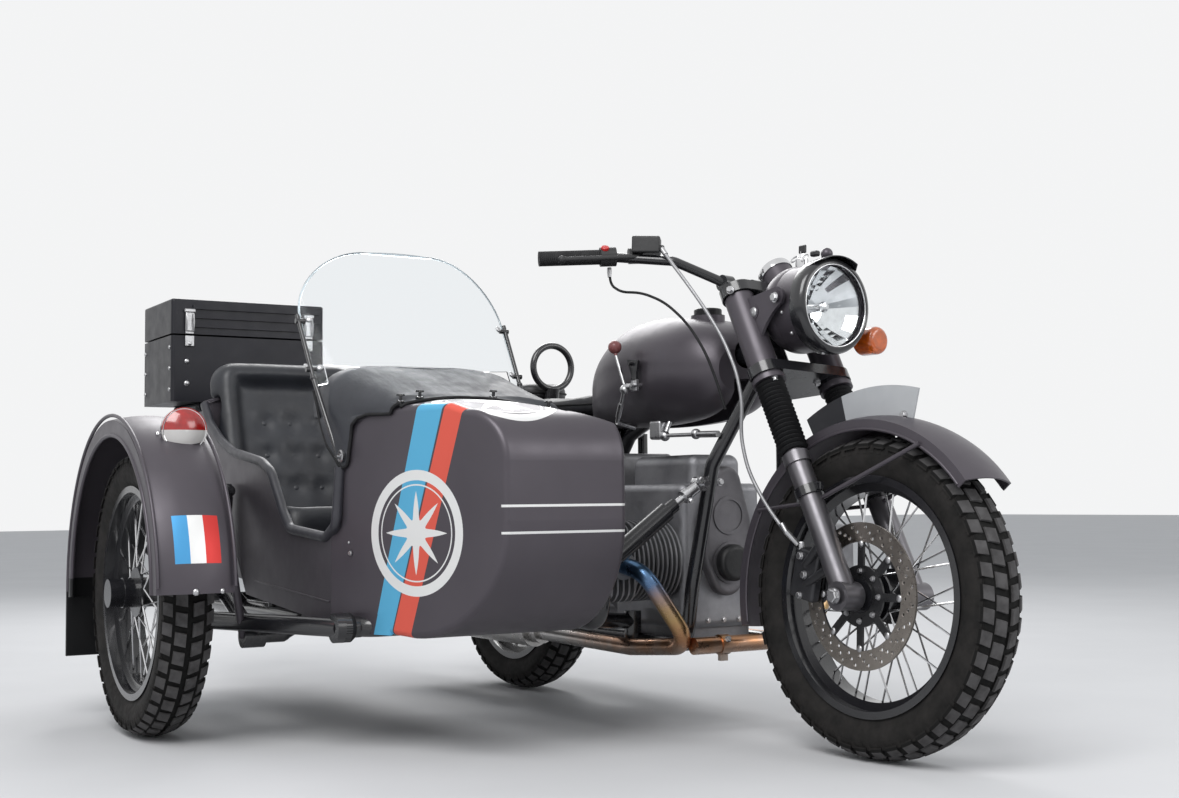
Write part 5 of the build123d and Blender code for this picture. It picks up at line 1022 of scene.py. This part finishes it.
def headlamp():
    """Reflector, bulb, ring with its bright edge, and the peak over the glass."""
    apex, edge = REFLECTOR_X
    bowl = [(apex + (edge - apex) * (r / REFLECTOR_RADIUS[1]) ** 2, r) for r in spread(*REFLECTOR_RADIUS, 8)]
    about_lamp(Shape(), bowl, 26).make("lamp_reflector", "steering", reflector, 4)
    about_lamp(about_lamp(Shape(), BULB_SOCKET, 20), BULB, 20).make("lamp_bulb", "steering", chrome, 30)
    about_lamp(Shape(), LAMP_RING, 64).make("lamp_ring", "steering", black_paint, 40, "black_paint")
    x, radius = RING_EDGE_AT
    edge = [(x + RING_EDGE_RADIUS * sin(a), radius + RING_EDGE_RADIUS * cos(a))
            for a in spread(0, 2 * pi, 8)]
    about_lamp(Shape(), edge, 64).make("lamp_ring_edge", "steering", chrome, 60)
    rows = [[turned(x, radius * sin(a), LAMP_Z + radius * cos(a))
             for a in spread(radians(-half), radians(half), 24)] for x, radius, half in LAMP_PEAK]
    Shape().strip(rows).make("lamp_peak", "steering", black_paint, 60, "black_paint", 0.0016)


def lamp_instruments():
    """Round gauge under blue glass, the lock with its keys, and the small black switch."""
    centre = turned(*GAUGE_AT)
    Shape().lathe(GAUGE_RING, centre, GAUGE_AXIS, 40).make("gauge_ring", "steering", chrome, 40)
    glass = Shape().lathe(GAUGE_GLASS, centre, GAUGE_AXIS, 40)
    glass.make("gauge_glass", "steering", blue_glass, 80, "lamp_glass")
    lock = Shape().lathe(LOCK, turned(1246, 0, 1043), UP, 28)
    lock.box(turned(1246, 0, 1054), (0.002, 0.009, 0.018), STEER_TURN)
    for x, y, tilt in KEY_RINGS:
        lock.tube([turned(x + 9 * cos(a), y + 7 * sin(a) * cos(tilt), 1047 + 7 * sin(a))
                   for a in spread(0, 2 * pi, 16)], 0.0012, 6, False)
    lock.make("lamp_lock_and_keys", "steering", chrome)
    head = Shape().box(turned(1247, 0, 1068), (0.022, 0.006, 0.018), STEER_TURN, 0.002)
    head.box(turned(1286, 0, 1053), (0.022, 0.014, 0.012), STEER_TURN, 0.003)
    head.make("lamp_key_head", "steering", plastic, 35, "black_plastic")


headlamp()
lamp_instruments()


# Bolts and rivets, set on the surface that a straight line from outside meets

BUTTON_HEIGHT = 4.5
TOUCH_FROM = 0.06
TOUCH_WITHIN = 0.055


def seat_on(node, place, outward):
    """The point of a piece's surface under a place, met from outside, and the way out."""
    outward = Vector(outward).normalized()
    found, normal = touch(node, place + outward * TOUCH_FROM, -outward)
    if (found - place).length > TOUCH_WITHIN:
        raise ValueError(f"nothing of {node} lies under {place}")
    return found, normal


def fasten(name, body, rows):
    """Bolt heads and rivets; rows: piece, place, way out, width and height of the head."""
    shape = Shape()
    for node, place, outward, across, height in rows:
        found, normal = seat_on(node, place if isinstance(place, Vector) else at(*place), outward)
        if height < BUTTON_HEIGHT:
            shape.button(found, normal, across / 2000, height / 1000)
        else:
            shape.bolt(found, normal, across / 1000, height / 1000)
    shape.make(name, body, zinc)


RIGHT = (0.1, -1, 0)
FLUID_BOX_AT = (940, -194, 1112)
FLUID_BOX_TURN = radians(47)
FRONT_BOLTS = [
    ("brake_caliper", (1352, -90, 405), RIGHT, 15, 8),
    ("brake_caliper", (1364, -92, 366), RIGHT, 15, 8),
    ("brake_caliper", (1350, -90, 324), RIGHT, 13, 7),
    ("fork_sliders", (1496, -126, 338), (0.5, -0.9, 0), 15, 9),
    ("steering_stem", (1177, -127, 977), (0.5, -0.84, 0.2), 15, 9),
    ("fork_covers", (1296, -100, 949), RIGHT, 18, 8),
    ("fork_covers", (1223, -103, 925), RIGHT, 24, 4),
    ("headlamp_shell", (1291, -77, 919), RIGHT, 9, 4),
    ("headlamp_shell", (1300, -59, 874), (0, -0.68, -0.73), 9, 4),
    ("headlamp_shell", (1334, -3, 835), (0.1, -0.2, -0.96), 8, 7),
    ("fork_covers", (1289, -100, 779), (0.8, -0.6, -0.1), 14, 8),
    ("steering_stem", (1250, 48, 777), (0.9, 0, -0.3), 14, 8),
    ("number_board", (1548, 25, 689), RIGHT, 15, 7),
]
BODY_BOLTS = [
    ("nose", (806, -858, 418), PANEL_NORMAL, 10, 5),
    ("nose", (800, -861, 440), PANEL_NORMAL, 8, 3),
    ("sidecar_mudguard", (703, -1158, 343), FORWARD, 15, 4),
    ("sidecar_mudguard", (703, -1100, 343), FORWARD, 12, 4),
    ("sidecar_struts", STRUT_BRIGHT[0], (0.8, -0.6, 0.1), 14, 8),
    ("sidecar_struts", STRUT_BRIGHT[1], (0.8, -0.6, 0.1), 12, 7),
    ("engine_block", (983, -24, 563), FORWARD, 14, 8),
    ("engine_block", (955, -44, 246), (1, 0, -0.2), 11, 6),
    ("engine_block", (955, 0, 246), (1, 0, -0.2), 11, 6),
    ("engine_block", (955, 44, 246), (1, 0, -0.2), 11, 6),
    ("cylinder_right", (880, -396, 385), -LEFT, 20, 10),
    ("cylinder_left", (880, 396, 385), LEFT, 20, 10),
    ("exhaust", (1075, -76, 214), UP, 12, 8),
    ("exhaust", (1075, 76, 214), UP, 12, 8),
]
# columns: radius on the disc, width and height of a button, and the same for a carrier bolt
DISC_FASTENERS = ((104, 15, 3.5), (50, 10, 6))
LEG_TOP = 742
STAY_CLAMP_AT = 232
FRONT_BEAD_RADIUS = 334
FRONT_BEAD_HALF = 65
FRONT_BEAD_ANGLES = (radians(41), radians(192))
FORK_VALVE = [(0, 0), (0.009, 0), (0.009, 0.006), (0, 0.006)]
STOP_BUTTON = [(0.0095, -0.004), (0.0095, 0.003), (0.008, 0.0045), (0, 0.0048)]
STAY_CLAMP = [(0.0252, -0.010), (0.0295, -0.010), (0.0295, 0.010), (0.0252, 0.010)]
LINE_RADII = [0.0068, 0.0062, 0.0055]
# columns: both ends, radii from one end to the other, sides
LINE_ENDS = (((972, -178, 1086), (990, -177, 1067), LINE_RADII, 14),
             ((1306, -103, 466), (1318, -100, 448), LINE_RADII, 14),
             ((1317, -100, 450), (1336, -84, 424), LINE_RADII, 14),
             ((866, -243, 1044), (868, -243, 1022), [0.0055, 0.0055, 0.0042], 12))


def box_corner(dx, dy):
    """A screw's place on the lid of the brake fluid box, which stands askew on the handlebar."""
    x, y, z = FLUID_BOX_AT
    c, s = cos(FLUID_BOX_TURN), sin(FLUID_BOX_TURN)
    return turned(x + dx * c - dy * s, y + dx * s + dy * c, z)


def disc_point(radius, angle):
    """A place beside the front wheel, on the side of the brake disc."""
    return turned(WHEELBASE + radius * cos(angle), -76, AXLE_Z + radius * sin(angle))


def front_fittings():
    """Nuts, clamps and line ends of the fork, and the beads of its mudguard."""
    caps = Shape()
    for side in (-FORK_HALF, FORK_HALF):
        caps.bolt(on_fork(LEG_TOP + 1, side), STEER_UP, 0.030, 0.010)
        caps.lathe(FORK_VALVE, on_fork(LEG_TOP + 10, side), STEER_UP, 20)
    caps.bolt(on_fork(LEG_TOP + 1, 0), STEER_UP, 0.034, 0.012)
    caps.make("fork_top_nuts", "steering", chrome)
    button, normal = seat_on("hand_controls", at(914, -285, 1095), (0.5, -0.24, 0.83))
    Shape().lathe(STOP_BUTTON, button, normal, 24).make("stop_button", "steering", red_button, 35, "red_lens")
    ends = Shape()
    for start, end, radii, sides in LINE_ENDS:
        first, second = turned(*start), turned(*end)
        ends.tube([first, first.lerp(second, 0.5), second], radii, sides)
    ends.bolt(turned(1337, -76, 414), UP, 0.013, 0.016)
    ends.make("line_ends", "steering", zinc)
    beads = Shape()
    for side in (-FRONT_BEAD_HALF, FRONT_BEAD_HALF):
        beads.tube([turned(WHEELBASE + FRONT_BEAD_RADIUS * cos(a), side, AXLE_Z + FRONT_BEAD_RADIUS * sin(a))
                    for a in spread(*FRONT_BEAD_ANGLES, 60)], 0.0034, 8)
    beads.make("front_guard_beads", "steering", grey_paint, 60, "grey_paint")
    clamps = Shape()
    for side in (-FORK_HALF, FORK_HALF):
        middle = on_fork(STAY_CLAMP_AT, side)
        clamps.lathe(STAY_CLAMP, middle, STEER_UP, 36)
        clamps.box(middle + STEER_TURN @ STEER_FORWARD * 0.032, (0.020, 0.012, 0.016), STEER_TURN, 0.002)
    clamps.make("slider_clamps", "steering", black_paint, 35, "black_paint")
    nuts = Shape()
    for side in (-1, 1):
        nuts.bolt(turned(WHEELBASE, side * 131, AXLE_Z), FRONT_SIDE * side, 0.026, 0.012)
    nuts.make("front_axle_nuts", "steering", zinc)


FRONT_BOLTS += [("hand_controls", box_corner(dx, dy), UP, 6, 2) for dy in (16, -16) for dx in (25, -25)]
fasten("front_bolts", "steering", FRONT_BOLTS)
fasten("body_bolts", "root", BODY_BOLTS)
fasten("disc_buttons", "front_wheel_body", [
    ("brake_disc", disc_point(radius, angle), -FRONT_SIDE, across, height)
    for angle in full_turn(8) for radius, across, height in DISC_FASTENERS])
front_fittings()


# Saddles and the passenger's seat

TUFT_RADIUS = 24
TUFT_DEPTH = 13
ROLL_DEPTH = 30
GROOVE_DEPTH = 5
GROOVE_AT = 0.35
EDGE_ROUND = 42
EDGE_POWER = 2.2
SWELL_HEIGHT = 2.4
SWELL_SCALE = 16
SEAT_STEPS = 40
# columns: z, x of the tub's sloping rear corner, behind which only the narrower tail has room
TUB_REAR_EDGE = ((304, 192), (484, 50), (590, -50), (700, -164), (1000, -164))
TUB_TOP_Z = 800
TAIL_INNER_Y = -809
SEAT_EDGE_GAP = 34
SEAT_BACK_AT = (-133, -650, 665)
SEAT_BACK_LEAN = radians(16)
SEAT_SQUAB_AT = (155, -650, 462)
SEAT_HALF_WIDTH = 208
SEAT_HALF_LENGTH = 244
BACK_TUFTS = [(x, y) for x in (-72, 0, 72) for y in (-110, -20, 70)]
SQUAB_TUFTS = [(x, y) for x in (-80, 0, 80) for y in (-120, -10, 100)]
# columns: name, node, rear x, front x, half width at the rear and front, low and high z
SADDLES = (("rider_saddle_pad", "rider_saddle", 228, 492, 128, 62, 746, 800),
           ("pillion_saddle_pad", "pillion_saddle", -150, 148, 112, 92, 794, 852))
SADDLE_STATIONS = 41
SADDLE_SIDES = 36
SADDLE_TIP = 4.0
# how square the sides and the top and bottom are, the lower the squarer
SIDE_POWER = 0.55
TOP_POWER = 0.62
DIP_DEPTH = 9
DIP_SHARE = 0.22
CRUMPLE_HEIGHT = 1.6
CRUMPLE_SCALE = 0.02


def pad_height(x, y, half_width, half_length, depth, rolls, tufts):
    """Height of an upholstered face at x across and y along."""
    side = max(0.0, min(1.0, (abs(x) - half_width + rolls[0]) / (rolls[0] * 0.5)))
    end = max(0.0, min(1.0, (y - half_length + rolls[1]) / (rolls[1] * 0.5)))
    roll = eased(max(side, end))
    height = depth - ROLL_DEPTH + ROLL_DEPTH * roll
    groove = 1 - abs(2 * max(side, end) - GROOVE_AT) / GROOVE_AT
    if 0 < groove and roll < 0.6:
        height -= GROOVE_DEPTH * groove
    for tuft_x, tuft_y in tufts:
        height -= TUFT_DEPTH * exp(-((x - tuft_x) ** 2 + (y - tuft_y) ** 2) / TUFT_RADIUS ** 2)
    return height


def kept_inside(place):
    """The place, moved inboard where it would pass through the side of the tail."""
    z = place.z * 1000
    edge = x_at(traced(TUB_REAR_EDGE, z) + SEAT_EDGE_GAP)
    if z > TUB_TOP_Z or place.x >= edge or place.y >= y_at(TAIL_INNER_Y):
        return place
    return Vector((place.x, y_at(TAIL_INNER_Y), place.z))


def cushion(name, centre, out, along, depth, corner, rolls, tufts):
    """An upholstered slab with rolled edges, tufts and a rounded outline; its back is flat."""
    across = along.cross(out)
    rings = []
    for along_angle in spread(0, pi, SEAT_STEPS):
        y = -cos(along_angle) * SEAT_HALF_LENGTH
        past = max(0.0, abs(y) - SEAT_HALF_LENGTH + corner) / corner
        half = SEAT_HALF_WIDTH - corner * (1 - rounded(past ** 2)) * 0.96
        edge = rounded(max(0.0, (abs(y) - SEAT_HALF_LENGTH + EDGE_ROUND) / EDGE_ROUND) ** EDGE_POWER)
        ring = []
        for across_angle in spread(0, pi, SEAT_STEPS):
            x = -cos(across_angle) * half
            round_over = edge * rounded(max(0.0, (abs(x) - half + EDGE_ROUND) / EDGE_ROUND) ** EDGE_POWER)
            place = centre + (across * x + along * y) / 1000
            height = pad_height(x, y, half, SEAT_HALF_LENGTH, depth, rolls, tufts)
            height += SWELL_HEIGHT * noise.noise(place * SWELL_SCALE)
            ring.append(kept_inside(place + out * height * round_over / 1000))
        for u in spread(1, -1, 10)[1:-1]:
            hollow = depth * 0.9 * edge * (1 - abs(u) ** 6)
            ring.append(kept_inside(centre + (across * u * half + along * y - out * hollow) / 1000))
        rings.append(ring)
    return Shape().loops(rings).make(name, "root", seat_leather, 80, "black_leather", 0.0, 1)


def passenger_seat():
    """Buttoned back and squab, and the buttons in the back's tufts."""
    out = Vector((cos(SEAT_BACK_LEAN), 0, sin(SEAT_BACK_LEAN)))
    along = Vector((-sin(SEAT_BACK_LEAN), 0, cos(SEAT_BACK_LEAN)))
    back = cushion("seat_back", at(*SEAT_BACK_AT), out, along, 62, 66, (84, 84), BACK_TUFTS)
    squab = cushion("seat_squab", at(*SEAT_SQUAB_AT), UP, FORWARD, 58, 50, (60, 56), SQUAB_TUFTS)
    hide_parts("cockpit_seat")
    buttons = Shape()
    for x, y in BACK_TUFTS:
        buttons.button(at(*SEAT_BACK_AT) + out * 0.0205 + (along * y - LEFT * x) / 1000, out, 0.008, 0.004)
    buttons.make("seat_buttons", "root", seat_leather, 60, "black_leather")


def saddle(name, node, rear_x, front_x, rear_half, front_half, low, high):
    """A saddle, broad behind and narrower in front, with a piped edge."""
    rear_radius = rear_half * 0.7
    rear_centre = rear_x + rear_radius
    front_centre = front_x - front_half
    middle = (low + high) / 2

    def half_at(x):
        if x < rear_centre:
            return rear_half * 0.3 + sqrt(max(0.0, rear_radius ** 2 - (x - rear_centre) ** 2))
        if x > front_centre:
            return max(SADDLE_TIP, sqrt(max(0.0, front_half ** 2 - (x - front_centre) ** 2)))
        share = (x - rear_centre) / (front_centre - rear_centre)
        return rear_half + (front_half - rear_half) * (eased(share) * 0.35 + share * 0.65)

    rings = []
    shares = [0.5 - 0.5 * cos(pi * (j + 0.35) / (SADDLE_STATIONS + 0.7)) for j in range(SADDLE_STATIONS)]
    stations = [rear_x + (front_x - rear_x) * v for v in shares]
    for v, x in zip(shares, stations):
        swell = rounded((2 * v - 1) ** 8)
        dip = DIP_DEPTH * exp(-((v - 0.5) / DIP_SHARE) ** 2)
        ring = []
        for a in full_turn(SADDLE_SIDES):
            y = half_at(x) * copysign(abs(cos(a)) ** SIDE_POWER, cos(a))
            rise = copysign(abs(sin(a)) ** TOP_POWER, sin(a)) * (high - low) / 2 * swell
            top = max(0.0, sin(a))
            crumple = CRUMPLE_HEIGHT * noise.noise(Vector((x, y, rise)) * CRUMPLE_SCALE)
            ring.append(at(x, y, middle + rise - dip * top ** 0.5 + crumple * top))
        rings.append(ring)
    pad = Shape().loops(rings).make(name, "root", saddle_leather, 80, "black_leather", 0.0, 1)
    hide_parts(node)
    seam = [at(x, -half_at(x) - 1, middle) for x in stations]
    seam += [at(x, half_at(x) + 1, middle) for x in reversed(stations)]
    Shape().tube(seam + seam[:1], 0.0028, 8, False).make(name + "_piping", "root", rubber, 80, "black_vinyl")


passenger_seat()
for row in SADDLES:
    saddle(*row)


# Sidecar body, lamps, mudguard and case

LAMP_FACES = (((520, -1130, 687), 1), ((-32, -1155, 650), -1))
LAMP_RIM = [(0.0465, -0.010), (0.0495, -0.010), (0.0498, -0.002), (0.0475, 0.001), (0.0455, 0.0005)]
GUARD_RADIUS = 403
GUARD_EDGES = (-1073, -1237)
GUARD_ANGLES = (radians(4), radians(182))
SEAM_X = range(260, 742, 40)
SEAM_FRONT_Z = 313
SEAM_RISE = 0.055
BOOT_AT = (826, -882, 264)
BOOT = [(0.012, 0.012), (0.027, 0.012), (0.031, 0.006), (0.031, -0.012), (0.026, -0.018), (0.012, -0.018)]
SKIRT_X = range(752, 921, 10)
SKIRT_Z = (250, 296)
SKIRT_THICK = 6
CASE_FRONT_X = -460
CASE_SIDE_Y = -881
CASE_STRAPS_Y = (-830, -475)
# columns: x from the case's front, z of the catch's wire
CATCH_WIRE = ((9, 1066), (14, 1040), (9, 1016))
# columns: x from the case's front, y from the strap, z, radius, height
STRAP_BUTTONS = ((6, 0, 980, 0.006, 0.003), (1, -7, 867, 0.008, 0.004), (1, -7, 930, 0.007, 0.0035))
CASE_RIVETS = [(x, z) for z in (850, 910, 970) for x in (-480, -730)]
HINGE_Y = (-560, -745)


def sidecar_fittings():
    """Rims of the lamps, beads of the mudguard, seam and skirt of the body, boot of the step's hinge."""
    rims = Shape()
    for (x, y, z), facing in LAMP_FACES:
        rims.lathe(LAMP_RIM, at(x, y, z), FORWARD * facing, 44)
        for angle in (0.2, pi - 0.2):
            side = copysign(1, cos(angle))
            rims.bolt(at(x - facing * 30, y + 50 * cos(angle), z - 8), LEFT * side, 0.010, 0.006)
    rims.make("side_lamp_rims", "root", chrome, 40)
    beads = Shape()
    for edge in GUARD_EDGES:
        beads.tube([SIDE_AXLE + Vector((GUARD_RADIUS * cos(a), edge + TRACK, GUARD_RADIUS * sin(a))) / 1000
                    for a in spread(*GUARD_ANGLES, 72)], 0.0042, 10)
    beads.make("side_guard_beads", "root", grey_paint, 60, "grey_paint")
    seam = [at(x, BODY_RIGHT_Y, SEAM_FRONT_Z + (SEAM_X.stop - x) * SEAM_RISE) for x in SEAM_X]
    seam = [seat_on("tub", place, -LEFT)[0] for place in seam]
    Shape().tube(seam, 0.0022, 6).make("body_seam", "root", grey_paint, 80, "grey_paint")
    Shape().lathe(BOOT, at(*BOOT_AT), -LEFT, 36).make("step_hinge_boot", "root", rubber, 40, "rubber")
    low, high = SKIRT_Z
    skirt = []
    for x in SKIRT_X:
        outer = body_side(x) + 0.6
        inner = outer + SKIRT_THICK
        skirt.append([at(x, outer, low), at(x, outer, high), at(x, inner, high), at(x, inner, low)])
    Shape().loops(skirt).make("body_skirt", "root", nose_paint, 30, "grey_paint")


def case_fittings():
    """Catches on the lid, and the keeps, rivets and hinge pins of the case."""
    straps = Shape()
    keeps = Shape()
    for y in CASE_STRAPS_Y:
        straps.box(at(CASE_FRONT_X + 4, y, 1040), (0.004, 0.024, 0.064), None, 0.001)
        straps.box(at(CASE_FRONT_X + 7, y, 1074), (0.008, 0.032, 0.010), None, 0.002)
        wire = [at(CASE_FRONT_X + dx, y - 10, z) for dx, z in CATCH_WIRE]
        straps.tube(wire + [at(CASE_FRONT_X + dx, y + 10, z) for dx, z in CATCH_WIRE[::-1]], 0.0022, 8)
        keeps.box(at(CASE_FRONT_X + 4, y, 988), (0.004, 0.026, 0.030), None, 0.001)
        for dx, dy, z, radius, height in STRAP_BUTTONS:
            keeps.button(at(CASE_FRONT_X + dx, y + dy, z), FORWARD, radius, height)
    for x, z in CASE_RIVETS:
        keeps.button(at(x, CASE_SIDE_Y, z), -LEFT, 0.006, 0.003)
    for y in HINGE_Y:
        keeps.tube([at(-753, y - 30, 1008), at(-753, y + 30, 1008)], 0.005, 12)
    straps.make("case_lid_catches", "lid", zinc)
    keeps.make("case_keeps", "root", zinc)


sidecar_fittings()
case_fittings()


# Camera, light and floor

SENSOR_WIDTH = 36
FLOOR_HALF = 30
# columns: name, place, target, size, power
LIGHTS = (("key", (2.6, -2.6, 4.2), (0.2, 0, 0.4), (3.0, 3.0), 190),
          ("fill", (4.5, 2.8, 2.6), (0.2, 0, 0.5), (3.0, 2.0), 60),
          ("back", (-3.6, 1.5, 3.6), (0, 0, 0.5), (3.0, 2.0), 110))


def placed(name, data):
    """A new object of the scene."""
    made = bpy.data.objects.new(name, data)
    bpy.context.scene.collection.objects.link(made)
    return made


def camera():
    data = bpy.data.cameras.new("photo_camera")
    data.sensor_fit = "HORIZONTAL"
    data.sensor_width = SENSOR_WIDTH
    data.lens = SENSOR_WIDTH * CAMERA_FOCAL_PIXELS / PHOTO_WIDTH
    data.clip_end = 100
    right = Vector((sin(CAMERA_YAW), -cos(CAMERA_YAW), 0))
    forward = UP.cross(right) * cos(CAMERA_PITCH) + UP * sin(CAMERA_PITCH)
    up = right.cross(forward)
    c, s = cos(CAMERA_ROLL), sin(CAMERA_ROLL)
    matrix = Matrix((right * c + up * s, up * c - right * s, -forward)).transposed().to_4x4()
    matrix.translation = at(*CAMERA_AT)
    made = placed("photo_camera", data)
    made.matrix_world = matrix
    bpy.context.scene.camera = made


def lights():
    for name, place, target, size, power in LIGHTS:
        data = bpy.data.lights.new(name, "AREA")
        data.shape = "RECTANGLE"
        data.size, data.size_y = size
        data.energy = power
        made = placed(name, data)
        made.location = place
        made.rotation_euler = (Vector(target) - Vector(place)).to_track_quat("-Z", "Y").to_euler()


def surroundings():
    """Soft light from all sides, which the camera, mirrors and glass see as a plain white background."""
    world = bpy.data.worlds.new("studio")
    bpy.context.scene.world = world
    world.use_nodes = True
    world.node_tree.nodes.clear()
    graph = Graph(world.node_tree)
    light = graph.node("Background", {0: (0.92, 0.96, 1.0), 1: 0.55})
    shown = graph.node("Background", {0: (0.9, 0.905, 0.91), 1: 1.0})
    camera_ray, glass_ray, glossy_ray = [graph.node("LightPath", {}, f"Is {kind} Ray")
                                         for kind in ("Camera", "Transmission", "Glossy")]
    mix = graph.node("MixShader", {0: camera_ray | glass_ray | glossy_ray, 1: light, 2: shown})
    output = world.node_tree.nodes.new("ShaderNodeOutputWorld")
    graph.feed(output.inputs[0], mix)


def studio_floor():
    corners = [(x * FLOOR_HALF, y * FLOOR_HALF, 0) for x, y in BLOCK_CORNERS]
    data = bpy.data.meshes.new("studio_floor")
    data.from_pydata(corners, [], [(0, 1, 2, 3)])
    finish = Finish("studio_floor").patchy((0.62, 0.62, 0.63), (0.6, 0.6, 0.61), 1.5).rough(0.7, 0.85, 4)
    data.materials.append(finish.material)
    floor = placed("studio_floor", data)


camera()
surroundings()
studio_floor()
lights()
bpy.context.scene.view_settings.view_transform = "Standard"
